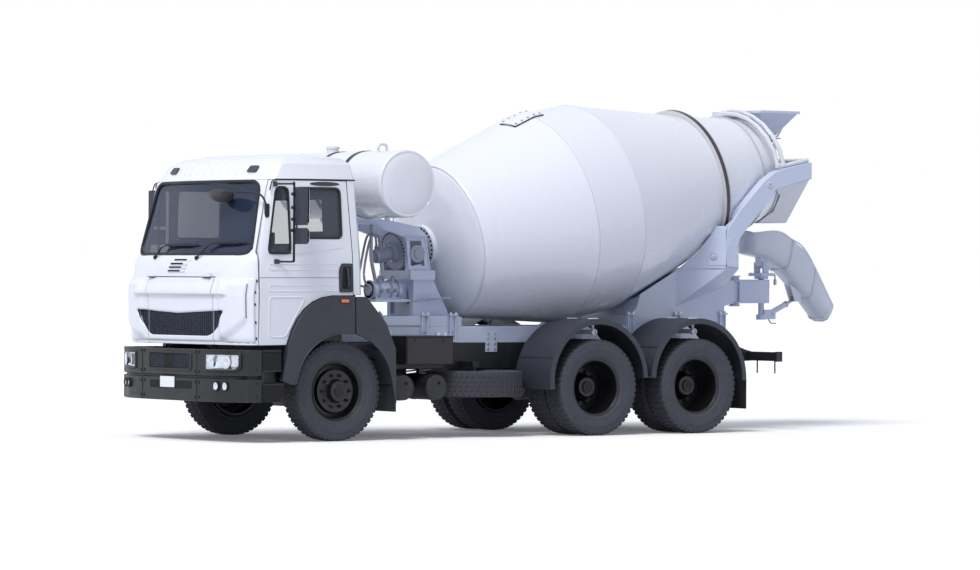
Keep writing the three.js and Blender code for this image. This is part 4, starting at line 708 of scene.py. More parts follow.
# Roof ribs and the drip rail over each door.
work = bmesh.new()
for y in range(-560, 600, 140):
    path = [on_front(y, z, 4) for z in (2770, 2830, 2880, 2910, 2930)]
    swept(work, path, [(-16, -5), (16, -5), (9, 4), (-9, 4)], up=AHEAD)
shown("roof_ribs", work, cab_white, "cab_roof", crease=60)
for side, way in BOTH_SIDES:
    work = bmesh.new()
    path = [on_side(s, z, way, 3) for s, z in ((-878, 2600), (-850, 2690), (-800, 2712), (-400, 2716),
                                               (60, 2716), (180, 2716))]
    swept(work, path, round_section(7, 8))
    shown("drip_rail_" + side, work, seal_rubber, "cab_roof", crease=60)

# ------------------------------------------------------------------ lower front panels
# The nose of the cab: moulded panels laid over the steel, a lifting flap in the middle and a
# shield at each corner, with a pressed crease, a swept grille opening and a rolled lower edge.
GRILLE_BOTTOM, GRILLE_SIDE = 1095, 840
FLAP_EDGE = 636


def ramp(value, start, end):
    """0 before start, 1 after end and smooth between."""
    t = min(1, max(0, (value - start) / (end - start)))
    return t * t * (3 - 2 * t)


def relief(y, z):
    """How far the moulded panel stands off the steel skin."""
    y = abs(y)
    stand = 12.0
    stand += 34 * ramp(z, 1506, 1532) * (1 - ramp(z, 1545, 1690)) * (1 - ramp(y, 850, 930))
    floor_line = 1062 + 190 * max(0, (y - 600) / 540) ** 3
    shield = ramp(y, 720, 800) * (1 - ramp(y, 1118, 1150)) * ramp(z, floor_line, floor_line + 40)
    stand += 30 * shield * (1 - ramp(z, 1630, 1672))
    return stand - 26 * (1 - ramp(z, 1004, 1062))


def grille_low(y):
    """The lower edge of the grille opening: flat in the middle and swept up to the sides."""
    y = abs(y)
    if y < 510:
        return GRILLE_BOTTOM
    return GRILLE_BOTTOM + 255 * ((min(y, GRILLE_SIDE) - 510) / 330) ** 2.2


def grille_high(y):
    """The upper edge of the grille opening, a little higher at the sides."""
    return 1326 + 36 * min(abs(y), GRILLE_SIDE) / GRILLE_SIDE


def panel(name, columns, rides, low=1006, high=1696):
    """A moulded panel over the front skin, open where the grille is."""
    work = bmesh.new()
    grid = []
    for y in columns:
        a, b = grille_low(y), grille_high(y)
        if b - a < 24:
            a = b - 24
        heights = [low + (a - low) * k / 9 for k in range(9)] + [a + (b - a) * k / 4 for k in range(4)]
        heights += [b + (1500 - b) * k / 6 for k in range(6)] + [1506, 1514, 1523, 1532, 1540, 1546]
        heights += [1546 + (high - 1546) * k / 9 for k in range(1, 10)]
        grid.append([work.verts.new(on_front(y, z, relief(y, z))) for z in heights])
    for i, (left, other) in enumerate(zip(grid, grid[1:])):
        middle = abs(columns[i] + columns[i + 1]) / 2
        for k in range(len(left) - 1):
            if 9 <= k < 13 and middle < GRILLE_SIDE:
                continue
            work.faces.new((left[k], other[k], other[k + 1], left[k + 1]))
    piece = shown(name, work, cab_white, rides, crease=50)
    thick = piece.modifiers.new("sheet_thickness", "SOLIDIFY")
    thick.thickness, thick.offset = 0.009, -1
    return piece


panel("flap_panel", [-FLAP_EDGE + 2 * FLAP_EDGE * k / 60 for k in range(61)], "front_flap")
for side, way in BOTH_SIDES:
    columns = [FLAP_EDGE + 9 + (GRILLE_SIDE - FLAP_EDGE - 9) * k / 10 for k in range(11)]
    columns += [GRILLE_SIDE + 30 * k for k in range(1, 10)] + [1122, 1134, 1146, 1158, 1170, 1180, 1188]
    panel("corner_panel_" + side, [way * y for y in columns], "cab_front")
    # Painted shade: short black strips for the slots up the corner shield, whose openings lie in
    # shadow.
    slots = bmesh.new()
    for k in range(16):
        z = 1290 + 22 * k
        corner = [on_front(way * y, h, relief(y, h) + 1)
                  for y, h in ((1133, z), (1141, z), (1141, z + 15), (1133, z + 15))]
        plate(slots, corner, (-2, 0, 0))
    shown("corner_slot_shade_" + side, slots, seal_rubber, "cab_front")
    spots = [(on_front(way * 1191.5, z, 2), Vector((0.2, way, 0)).normalized())
             for z in (1665, 1548, 1425, 1240, 1075)]
    bolted("corner_rivets_" + side, spots, 20, 6, seal_rubber, "cab_front")

# ------------------------------------------------------------------ grille
# Pressed wire mesh in the opening: flat six-sided cells in front of a dark screen of painted shade
# for the depth behind them. The flap carries the middle and the cab the ends.

# Grey-blue wire that shows against the dark behind it.
grille_wire = coated("satin_grille_wire", "#596075", "#4a5064", 40, 0.3, 0.08)
# A flat black for painted shade: it reads as depth in openings, recesses and gaps.
shade_black = coated("matt_black_painted_shade", "#07080a", "#0d0e11", 30, 0.9)
CELL_WIDE, CELL_HIGH = 22, 13
COLUMN_STEP, ROW_STEP = 1.5, 1.732  # of a cell's size
mesh_tree = bpy.data.node_groups.new("six_sided_cells", "GeometryNodeTree")
mesh_inputs = tree_inputs(mesh_tree, Wide="NodeSocketFloat", Wire="NodeSocketFloat",
                          Finish="NodeSocketMaterial")
given = add_node(mesh_tree, "NodeGroupInput")
ring = add_node(mesh_tree, "GeometryNodeMeshCircle", {"Vertices": 6, "Radius": given.outputs["Wide"]})
line = add_node(mesh_tree, "GeometryNodeMeshToCurve", {"Mesh": ring.outputs[0]})
wire = add_node(mesh_tree, "GeometryNodeCurvePrimitiveCircle",
                {"Resolution": 3, "Radius": given.outputs["Wire"]})
cell = add_node(mesh_tree, "GeometryNodeCurveToMesh",
                {"Curve": line.outputs[0], "Profile Curve": wire.outputs[0]})
flat = add_node(mesh_tree, "GeometryNodeTransform",
                {"Geometry": cell.outputs[0], "Scale": (CELL_HIGH / CELL_WIDE, 1, 1)})
spots = add_node(mesh_tree, "GeometryNodeMeshToPoints", {"Mesh": given.outputs["Geometry"]})
copied(mesh_tree, given, spots.outputs[0], flat.outputs[0], face_along(mesh_tree, pivot_axis="Y"))


def cells(name, points, wire, rides):
    """Six-sided wire cells round the points, facing ahead."""
    values = {mesh_inputs["Wide"]: CELL_WIDE / 1000, mesh_inputs["Wire"]: wire,
              mesh_inputs["Finish"]: grille_wire}
    grown(name, faced(name, [(p, AHEAD) for p in points]), mesh_tree, values, grille_wire, rides)


def grille(name, y_range, rides):
    """The mesh and a dark screen of painted shade behind it, between two side positions."""
    points = []
    columns = int((y_range[1] - y_range[0]) / (CELL_WIDE * COLUMN_STEP))
    for i in range(columns + 1):
        y = y_range[0] + (y_range[1] - y_range[0]) * i / columns
        for k in range(20):
            z = GRILLE_BOTTOM - 4 + (k + 0.5 * (i % 2)) * CELL_HIGH * ROW_STEP
            if grille_low(y) - 4 < z < grille_high(y) + 4:
                points.append(on_front(y, z, 5))
    cells(name, points, 0.0022, rides)
    # The screen is painted shade: flat black for the opening's depth behind the mesh.
    screen = bmesh.new()
    steps = 24
    rows = []
    for i in range(steps + 1):
        y = y_range[0] + (y_range[1] - y_range[0]) * i / steps
        low, high = grille_low(y) - 12, max(grille_high(y), grille_low(y) + 10) + 12
        rows.append([screen.verts.new(on_front(y, z, 1.2)) for z in (low, (low + high) / 2, high)])
    for a, b in zip(rows, rows[1:]):
        for k in range(2):
            screen.faces.new((a[k], b[k], b[k + 1], a[k + 1]))
    shown(name + "_screen", screen, shade_black, rides)


grille("grille_flap", (-FLAP_EDGE + 10, FLAP_EDGE - 10), "front_flap")
grille("grille_left", (FLAP_EDGE + 14, GRILLE_SIDE - 2), "cab_front")
grille("grille_right", (-GRILLE_SIDE + 2, -FLAP_EDGE - 14), "cab_front")

# ------------------------------------------------------------------ scuttle: louvres, hinges and wipers
# The band under the windscreen: four hooded louvres for the heater with painted shade in their
# slots, two hinges over dark gaps of painted shade for the flap, and two wipers parked low on
# the glass.
work, dark = bmesh.new(), bmesh.new()
for y0, z in ((-112, 1884), (-158, 1843), (-190, 1806), (-214, 1768)):
    low, high = ([on_front(y0 + dy, z + dz, 1) for dy in (0, 330)] for dz in (-13, 13))
    plate(work, [low[0], low[1], high[1], high[0]], (8, 0, 0))
    # Painted shade: a black strip under each hood where the slot lies in shadow.
    low, high = ([on_front(y0 + dy, z + dz, 9) for dy in (8, 245)] for dz in (-9, 7))
    plate(dark, [low[0], low[1], high[1], high[0]], (2, 0, 0))
shown("louvre_hoods", work, cab_white, "cab_front", 3)
shown("louvre_slot_shade", dark, shade_black, "cab_front")
work, shade = bmesh.new(), bmesh.new()
for y in (-550, 530):
    slab(work, (skin_station(y, 1700) - 34, skin_station(y, 1700) - 1), (y - 75, y + 75), (1706, 1722))
    slab(work, (skin_station(y, 1700) - 22, skin_station(y, 1700) - 1), (y - 60, y + 60), (1722, 1748))
    # Painted shade: a dark strip under each hinge for the gap behind it.
    slab(shade, (skin_station(y, 1700) - 30, skin_station(y, 1700) - 1), (y - 72, y + 72), (1699, 1706))
shown("flap_hinges", work, cab_white, "cab_front", 4)
shown("flap_hinge_gap_shade", shade, seal_rubber, "cab_front")
for name, pivot, start, end in (("near", (306, 1898), (537, 2062), (1010, 2068)),
                                ("far", (-571, 1903), (-400, 2040), (234, 2044))):
    work = bmesh.new()
    turned(work, [(0, 24), (18, 24), (24, 16), (30, 14), (30, 0)], on_front(*pivot, 0),
           Vector((1, 0, 0.25)), 16)
    middle = ((start[0] + end[0]) / 2, (start[1] + end[1]) / 2)
    arm = [on_front(*pivot, 24), on_front(pivot[0] + 60, pivot[1] + 45, 30),
           on_front((pivot[0] + start[0]) / 2 + 60, start[1] - 20, 26), on_front(*middle, 22)]
    swept(work, smooth_path(arm, 5), [(-9, -3), (9, -3), (9, 3), (-9, 3)])
    blade = [on_front(start[0] + (end[0] - start[0]) * k / 14, start[1] + (end[1] - start[1]) * k / 14,
                      12) for k in range(15)]
    swept(work, blade, [(-9, -3), (7, -8), (7, 8), (-9, 3)])
    bow = [on_front(start[0] + (end[0] - start[0]) * k / 10, start[1] + (end[1] - start[1]) * k / 10,
                    20 + 8 * math.sin(math.pi * k / 10)) for k in range(2, 9)]
    swept(work, bow, [(-3, -9), (3, -9), (3, 9), (-3, 9)])
    shown("wiper_" + name, work, seal_rubber, "cab_front", crease=40)

# ------------------------------------------------------------------ glass and its rubber
# A laminated windscreen with a dark blue tint and nearly clear tempered door glass, each set in a
# black rubber section; a painted post parts the quarter light from the drop glass.
def glazed(name, tint, roughness, alpha):
    """A smooth see-through finish with a tint."""
    made = bpy.data.materials.new(name)
    made.use_nodes = True
    shader = made.node_tree.nodes["Principled BSDF"]
    shader.inputs["Base Color"].default_value = linear(tint)
    shader.inputs["Roughness"].default_value = roughness
    shader.inputs["Alpha"].default_value = alpha
    return made


# Dark and blue from outside, with the far windows showing faintly through.
glass = glazed("tinted_laminated_glass", "#2f3b54", 0.02, 0.58)
# Nearly clear, so the far side of the cab shows.
clear = glazed("clear_tempered_glass", "#6d7680", 0.02, 0.3)
refined("windshield", glass, 0, 60)
for side in ("left", "right"):
    refined("door_glass_" + side, clear, 0, 60)


def rounded(corners, radius, steps=6):
    """A closed outline of 2-D corners with each corner rounded."""
    outline = []
    count = len(corners)
    for i, corner in enumerate(corners):
        before, after = Vector(corners[i - 1]), Vector(corners[(i + 1) % count])
        corner = Vector(corner)
        start = corner + (before - corner).normalized() * min(radius, (before - corner).length * 0.45)
        end = corner + (after - corner).normalized() * min(radius, (after - corner).length * 0.45)
        outline += [(1 - t) ** 2 * start + 2 * t * (1 - t) * corner + t * t * end
                    for t in (k / steps for k in range(steps + 1))]
    return outline


def dense(outline, longest=60):
    """The outline with its long straight parts split up."""
    points = []
    for a, b in zip(outline, outline[1:] + outline[:1]):
        pieces = max(1, int((b - a).length / longest))
        points += [a + (b - a) * k / pieces for k in range(pieces)]
    return points


def side_plate(work, outline, way, proud, depth):
    """A plate on the cab's side, from an outline of stations and heights."""
    plate(work, [on_side(s, z, way, proud) for s, z in outline], (0, way * depth, 0))


def side_bead(work, outline, way, section):
    """A closed bead along an outline on the cab's side."""
    swept(work, [on_side(s, z, way, 1) for s, z in outline], section, up=Vector((0, way, 0)),
          closed=True)


work = bmesh.new()
edge = dense(rounded([(-1098, 1940), (1098, 1940), (1000, 2695), (-1000, 2695)], 130))
swept(work, [on_front(p.x, p.y, 0) for p in edge], [(-17, -5), (17, -5), (12, 8), (-12, 8)],
      up=Vector((1, 0, 0.35)), closed=True)
shown("windscreen_rubber", work, seal_rubber, "cab_front", crease=60)
for side, way in BOTH_SIDES:
    work = bmesh.new()
    for corners, radius in (([(-915, 1950), (-640, 1950), (-655, 2632), (-800, 2632)], 60),
                            ([(-560, 2110), (-5, 2110), (-15, 2628), (-560, 2628)], 60)):
        edge = dense(rounded(corners, radius))
        side_bead(work, edge, way, [(-13, -5), (13, -5), (9, 7), (-9, 7)])
    shown("door_rubber_" + side, work, seal_rubber, "door_" + side, crease=60)
    work = bmesh.new()
    for corners in ([(-634, 1950), (-566, 1950), (-566, 2640), (-650, 2640)],
                    [(-566, 1940), (-5, 2010), (-5, 2100), (-566, 2100)]):
        side_plate(work, corners, way, 4, -22)
    shown("door_post_" + side, work, cab_white, "door_" + side, 2)

# ------------------------------------------------------------------ doors
# Pressed swages, a groove along the door drawn as a thin line of painted shade, a black pull
# handle in a hollow of painted shade, and a moulded scoop over the window.

# Painted shade: a thin grey line for the groove where two panels meet.
shadow_line = coated("painted_groove_shade_grey", "#7d839a", "#737990", 60, 0.6)
for side, way in BOTH_SIDES:
    work = bmesh.new()
    for z0, z1 in ((1783, 1842), (1562, 1621)):
        outline = rounded([(-905, z0), (-70, z0), (-70, z1), (-905, z1)], 16, 3)
        side_bead(work, dense(outline, 200), way, [(-6, -3), (6, -3), (2, 4), (-2, 4)])
    outline = rounded([(-905, 1500), (-455, 1500), (-520, 1400), (-640, 1200), (-700, 1090),
                       (-905, 1090)], 50, 5)
    side_bead(work, dense(outline, 200), way, [(-10, -3), (10, -3), (3, 5), (-3, 5)])
    shown("door_swages_" + side, work, cab_white, "door_" + side, crease=60)
    # Painted shade of the door's groove: a thin grey strip on the skin.
    work = bmesh.new()
    plate(work, [on_side(s, z, way, 0.5) for s, z in ((-1022, 1698), (126, 1698), (126, 1703),
                                                      (-1022, 1703))], (0, way * 1.2, 0))
    shown("door_groove_shade_" + side, work, shadow_line, "door_" + side)
    work = bmesh.new()
    outline = rounded([(-20, 1850), (120, 1850), (120, 1548), (-45, 1548), (-50, 1780)], 24, 4)
    side_plate(work, outline, way, 0.5, 10)
    shown("handle_plate_" + side, work, charcoal, "door_" + side, 3)
    # Painted shade: a black patch for the hollow behind the grip.
    work = bmesh.new()
    hollow = rounded([(0, 1815), (95, 1815), (95, 1585), (-15, 1585)], 20, 4)
    side_plate(work, hollow, way, 10.6, 1)
    shown("handle_hollow_shade_" + side, work, shade_black, "door_" + side)
    work = bmesh.new()
    grip = [on_side(s, z, way, out) for s, z, out in ((45, 1800, 10), (48, 1785, 26), (55, 1700, 30),
                                                      (62, 1620, 26), (60, 1598, 10))]
    swept(work, smooth_path(grip, 5), [(-14, -6), (14, -6), (14, 6), (-14, 6)], up=Vector((0, way, 0)))
    shown("handle_grip_" + side, work, charcoal, "door_" + side, 2)
    work = bmesh.new()
    ellipse = [(-200 + 185 * math.cos(a), 2672 + 22 * math.sin(a))
               for a in (2 * math.pi * k / 28 for k in range(28))]
    side_plate(work, ellipse, way, 0.5, 3)
    shown("window_scoop_" + side, work, charcoal, "door_" + side, 1)

# ------------------------------------------------------------------ wheel arches and side lamps
# Charcoal polyethylene mouldings with a rolled lip, and an amber side lamp on each. The rear
# part stays on the chassis when the cab tilts.

# Bright clear orange plastic.
amber = coated("amber_lens", "#f07a1e", "#d9661a", 12, 0.18, 0.05, Coat_Weight=1.0)
FLARE_RADIUS, FLARE_FACE = 604, 1240
for side, way in BOTH_SIDES:
    refined("arch_flare_" + side, charcoal, 8)
    refined("front_guard_" + side, charcoal, 6)
    work = bmesh.new()
    arc = [place(FLARE_RADIUS * math.sin(a), way * FLARE_FACE, AXLE_Z + FLARE_RADIUS * math.cos(a))
           for a in (math.radians(k) for k in range(-82, 13, 5))]
    swept(work, arc, round_section(9, 8), up=Y_AXIS)
    shown("arch_lip_" + side, work, charcoal, "arch_flare_" + side, crease=60)
    work = bmesh.new()
    outline = rounded([(-60, 1434), (62, 1434), (62, 1488), (-60, 1488)], 18, 3)
    plate(work, [place(p.x, way * 1239, p.y) for p in outline], (0, way * 7, 0))
    shown("lamp_base_" + side, work, seal_rubber, "arch_flare_" + side, 2)
    work = bmesh.new()
    outline = rounded([(-48, 1444), (50, 1444), (50, 1478), (-48, 1478)], 12, 3)
    plate(work, [place(p.x, way * 1246, p.y) for p in outline], (0, way * 5, 0))
    shown("side_lamp_" + side, work, amber, "arch_flare_" + side, 3)

# ------------------------------------------------------------------ mirrors and roof lamps
# Black tube mirror arms with two moulded heads each, a kerb mirror on its own arm over the
# windscreen's corner, and marker lamps on the roof edge.

# Grained dark housings with a blue cast.
mirror_black = coated("grained_mirror_housing", "#3b3e4b", "#343743", 60, 0.5, grain_mm=2,
                      relief_mm=0.15)
# A bright mirror face.
silvered = coated("silvered_mirror_glass", "#dfe3ea", "#d5dae2", 300, 0.04, 0.01, Metallic=1.0)
# Faded shell of the kerb mirror.
olive = coated("weathered_kerb_mirror_shell", "#4d4f50", "#43443f", 40, 0.5)
for side, way in BOTH_SIDES:
    refined("mirror_" + side, mirror_black, 7)
    work = bmesh.new()
    for z0, z1 in ((2262, 2608), (2062, 2193)):
        outline = rounded([(1318, z0), (1492, z0), (1492, z1), (1318, z1)], 14, 3)
        plate(work, [place(-611, way * p.x, p.y) for p in outline], (-3, 0, 0))
    shown("mirror_glass_" + side, work, silvered, "mirror_" + side)
    work = bmesh.new()
    for z in (2185, 2300, 2420, 2560):
        slab(work, (-716, -664), (way * 1308, way * 1352), (z - 16, z + 16))
    shown("mirror_clamps_" + side, work, seal_rubber, "mirror_" + side, 5)
work = bmesh.new()
near_arm = route((-905, 1148, 2360), (-935, 1160, 2480), (-990, 1120, 2560), (-1100, 960, 2580),
                 (-1150, 700, 2580), (-1140, 640, 2560))
swept(work, smooth_path(near_arm, 6), round_section(10, 8))
slab(work, (-925, -885), (1130, 1165), (2320, 2460))
shown("kerb_mirror_arm", work, seal_rubber, "cab_front", crease=50)
work = bmesh.new()
turned(work, [(0, 0), (0, 26), (14, 84), (40, 126), (60, 132), (60, 122), (46, 108), (42, 0)],
       place(-1125, 610, 2500), Vector((-0.30, -0.30, 0.90)), 36)
shown("kerb_mirror", work, olive, "cab_front", crease=50)
for name, y in (("left", 770), ("right", -770)):
    work = bmesh.new()
    outline = rounded([(y - 75, 2792), (y + 75, 2792), (y + 66, 2856), (y - 66, 2856)], 14, 3)
    plate(work, [on_front(p.x, p.y, 1) for p in outline], (16, 0, 6))
    shown("marker_lamp_" + name, work, mirror_black, "cab_roof", 4)

# ------------------------------------------------------------------ seats, dashboard and wheel
# A moulded dashboard and steering wheel, and two seats of foam pads covered in woven cloth, each
# with a cushion and a backrest.
refined("cab_interior", trim, 12)
# Brownish woven cover, quite matt.
seat_cloth = coated("woven_seat_cloth", "#6a6258", "#4f4a44", 18, 0.9, grain_mm=2, relief_mm=0.3)
for name, y in (("driver", -560), ("passenger", 560)):
    for part, corners, depth in (
            ("cushion", [(-430, 1562), (60, 1562), (60, 1640), (-430, 1650)], 460),
            ("backrest", [(40, 1620), (150, 1620), (158, 2180), (70, 2190), (30, 1800)], 440)):
        work = bmesh.new()
        outline = rounded(corners, 40, 4)
        plate(work, [place(p.x, y - depth / 2, p.y) for p in outline], (0, depth, 0))
        piece = shown(f"{name}_{part}", work, seat_cloth, "cab_interior", 14)

# ------------------------------------------------------------------ front bumper
# Grained black polypropylene in three sections, bolted together, with deep headlamps in their
# pockets, a screened middle opening, fog lamps, a blank number plate and box steps behind; the
# pockets, openings, joints and step faces are backed with painted shade.

# Deep black with a fine grain and a dull sheen.
bumper_plastic = coated("grained_black_polypropylene", "#19191c", "#141417", 200, 0.45, grain_mm=2,
                        relief_mm=0.12)
# Sparkling lamp bowls.
chrome = coated("vacuum_chrome_reflector", "#eef1f6", "#cfd6e2", 25, 0.12, 0.08, Metallic=1.0)
# Clear and glossy over the bright bowls.
lens = glazed("clear_lamp_lens", "#e8edf4", 0.03, 0.25)
# A plain white blank.
plate_white = coated("blank_plate_white", "#f4f5f7", "#eff0f3", 60, 0.35)
refined("front_bumper", bumper_plastic, 10)
BUMPER = [(-1366, 0), (-1366, 540), (-1334, 840), (-1274, 1040), (-1180, 1180), (-1180, 1230),
          (-1007, 1230)]


def bumper_station(y):
    """The station of the bumper's face at a side position."""
    y = abs(y)
    for (s0, y0), (s1, y1) in zip(BUMPER, BUMPER[1:]):
        if y <= y1:
            return s0 + (s1 - s0) * (y - y0) / (y1 - y0)
    return BUMPER[-1][0]


def on_bumper(y, z, proud=0):
    """A point on the bumper's face, moved out along the face by a distance."""
    slope = (bumper_station(y + 4) - bumper_station(y - 4)) / 8
    length = math.hypot(1, slope)
    return place(bumper_station(y) - proud / length, y + proud * slope / length, z)


def bumper_patch(work, corners, proud, depth, radius=16):
    """A plate on the bumper's curved face, from an outline of side positions and heights."""
    outline = dense(rounded(corners, radius, 4), 40)
    low = [work.verts.new(on_bumper(p.x, p.y, proud)) for p in outline]
    high = [work.verts.new(on_bumper(p.x, p.y, proud + depth)) for p in outline]
    work.faces.new(low[::-1])
    work.faces.new(high)
    for i in range(len(low)):
        j = (i + 1) % len(low)
        work.faces.new((low[i], low[j], high[j], high[i]))


def bumper_frame(work, corners, section, radius=22, proud=0):
    """A moulded rib round an opening in the bumper's face."""
    path = [on_bumper(p.x, p.y, proud) for p in dense(rounded(corners, radius, 5), 40)]
    swept(work, path, section, up=AHEAD, closed=True)


work, pockets, reflect, cover = bmesh.new(), bmesh.new(), bmesh.new(), bmesh.new()
for way in (1, -1):
    lamp = [(way * y, z) for y, z in ((690, 745), (1095, 745), (1132, 785), (1132, 920), (690, 920))]
    bumper_frame(work, lamp, [(-18, -3), (18, -3), (10, 14), (-10, 14)])
    # Painted shade: a flat black sheet at the back of each lamp pocket.
    bumper_patch(pockets, lamp, 0.5, 1)
    bumper_patch(cover, [(way * y, z) for y, z in ((704, 757), (1088, 757), (1118, 792), (1118, 908),
                                                   (704, 908))], 9, 3)
    for y, size in ((800, 64), (985, 66)):
        middle = on_bumper(way * y, 832, 2)
        ahead = Vector((1, way * 0.35, 0))
        turned(reflect, [(6, 0), (6, 12), (1, 22), (1.5, size * 0.7), (7, size)], middle, ahead, 28)
    bumper_patch(reflect, [(way * y, z) for y, z in ((704, 757), (1116, 790), (1118, 908), (704, 908))],
                 1.6, 0.8)
    for y in (857, 975):
        middle = on_bumper(way * y, 585, 4)
        ahead = Vector((1, way * 0.25, 0))
        turned(work, [(-20, 50), (16, 50), (18, 42), (8, 38), (-20, 38)], middle, ahead, 24)
        turned(reflect, [(8, 38), (9, 12), (14, 0)], middle, ahead, 24)
bumper_frame(work, [(-390, 745), (430, 745), (430, 922), (-390, 922)],
             [(-16, -3), (16, -3), (9, 12), (-9, 12)], 30)
# Painted shade at the back of the middle and lower openings.
bumper_patch(pockets, [(-382, 750), (422, 750), (422, 917), (-382, 917)], 0.5, 1, 26)
bumper_patch(pockets, [(-380, 545), (440, 545), (440, 628), (-380, 628)], 0.5, 1)
shown("bumper_frames", work, bumper_plastic, "front_bumper", crease=40)
shown("bumper_pocket_shade", pockets, shade_black, "front_bumper")
shown("lamp_reflectors", reflect, chrome, "front_bumper", crease=40)
shown("lamp_lenses", cover, lens, "front_bumper", 2)
work = bmesh.new()
bumper_patch(work, [(-168, 555), (112, 555), (112, 668), (-168, 668)], 3, 7, 10)
shown("number_plate_blank", work, plate_white, "front_bumper", 2)
# Painted shade: thin black strips for the gaps between the bumper's sections.
work = bmesh.new()
for y, lean in ((-540, 0), (540, 0)):
    for z0, z1 in ((692, 952), (428, 656)):
        plate(work, [on_bumper(y - 4, z0, 0.5), on_bumper(y + 4, z0, 0.5), on_bumper(y + 4, z1, 0.5),
                     on_bumper(y - 4, z1, 0.5)], (2, 0, 0))
shown("bumper_joint_shade", work, shade_black, "front_bumper")
# The step faces are painted shade: flat black behind the treads where the step box lies in shadow.
work, bars = bmesh.new(), bmesh.new()
for way in (1, -1):
    for z0, z1 in ((424, 596), (744, 956)):
        slab(work, (-1004, -772), (way * 1222.5, way * 1228), (z0, z1))
    slab(work, (-1026, -1004), (way * 1222.5, way * 1229), (424, 956))
    for z in (596, 736, 942):
        slab(bars, (-1002, -775), (way * 1180, way * 1232), (z, z + 12))
        for s in range(-990, -780, 26):
            slab(bars, (s, s + 8), (way * 1150, way * 1230), (z + 12, z + 17))
shown("step_shade_faces", work, shade_black, "front_bumper", 3)
shown("step_treads", bars, chassis_enamel, "front_bumper", 1)
spots = [(on_bumper(way * y, z, 2), AHEAD) for way in (1, -1) for y in (505, 575)
         for z in (728, 930, 466, 618)]
spots += [(place(-1060, way * 1231, z), Vector((0, way, 0))) for way in (1, -1)
          for z in (758, 915, 480, 620)]
bolted("bumper_bolts", spots, 24, 10, seal_rubber, "front_bumper")
work = bmesh.new()
for way in (1, -1):
    ridge = [on_bumper(way * y, z, 0) for y, z in ((0, 498), (300, 500), (540, 500), (640, 500),
                                                   (720, 460), (840, 486), (900, 492))]
    swept(work, ridge, [(-2, -10), (7, 0), (-2, 10)], up=UP)
shown("bumper_ridge", work, bumper_plastic, "front_bumper", crease=20)
screen_points = [on_bumper(y0 + CELL_WIDE * COLUMN_STEP * i,
                           762 + (k + 0.5 * (i % 2)) * CELL_HIGH * ROW_STEP, 4)
                 for y0, count in ((-360, 8), (120, 9)) for i in range(count) for k in range(7)]
cells("bumper_screen", screen_points, 0.0018, "front_bumper")

# ------------------------------------------------------------------ locker, air tanks and fuel tank
# A dark steel battery locker over two pressed air tanks with banded straps and air pipes, and a
# dark fuel tank with bright straps on the other side.

# Brownish black paint on flat boxes.
locker_paint = coated("dark_locker_enamel", "#1c1b1d", "#171619", 150, 0.42, grain_mm=4, relief_mm=0.1)
refined("side_locker", locker_paint, 6)
refined("fuel_tank", locker_paint, 12)
work = bmesh.new()
slab(work, (990, 1576), (951, 957), (797, 1065))
for station in (1100, 1460):
    slab(work, (station - 22, station + 22), (956, 966), (1020, 1052))
slab(work, (970, 1596), (515, 962), (1077, 1086))
shown("locker_lid", work, locker_paint, "side_locker", 4)
work = bmesh.new()
for station in (876, 1300):
    for y in (640, 960):
        turned(work, [(y - 18, 134), (y - 18, 138), (y + 18, 138), (y + 18, 134)],
               place(station, 0, 545), Y_AXIS, 40)
    turned(work, [(1049, 120), (1062, 100), (1066, 40), (1066, 0)], place(station, 0, 545), Y_AXIS, 40)
    turned(work, [(1064, 16), (1084, 16), (1084, 10), (1094, 10), (1094, 0)],
           place(station + 30, 0, 590), Y_AXIS, 12)
shown("air_tank_bands", work, chassis_enamel, "side_locker", crease=40)
work = bmesh.new()
for y0, drop in ((470, 0), (480, 30), (490, 60)):
    hose = route((700, y0, 900 - drop), (860, y0 + 30, 870 - drop), (1000, y0 + 10, 700 - drop),
                 (1160, y0, 690 - drop), (1500, y0, 720 - drop), (1760, y0, 760 - drop))
    swept(work, smooth_path(hose, 8), round_section(9, 8))
shown("fixed_air_pipes", work, seal_rubber, "side_locker", crease=60)
work = bmesh.new()
for station in (1130, 1750):
    path = [place(station, -y, z) for y, z in ((525, 1030), (600, 1064), (1050, 1064), (1110, 1050),
                                               (1133, 980), (1133, 560), (1110, 492), (1050, 476))]
    swept(work, path, [(-3, -30), (3, -30), (3, 30), (-3, 30)], up=AHEAD)
shown("fuel_tank_straps", work, zinc, "fuel_tank", 1)
work = bmesh.new()
turned(work, [(0, 55), (20, 55), (26, 62), (48, 62), (54, 50), (54, 0)], place(1250, -940, 1055),
       UP, 24)
shown("fuel_cap", work, seal_rubber, "fuel_tank", crease=40)

# ------------------------------------------------------------------ rear mudguards
# Rotationally moulded charcoal arches with a deep lip, on white tube stays clamped to the
# subframe, and a rubber flap behind the last wheel.
ARCH_RADIUS, ARCH_Y, ARCH_Z = 665, 950, 600
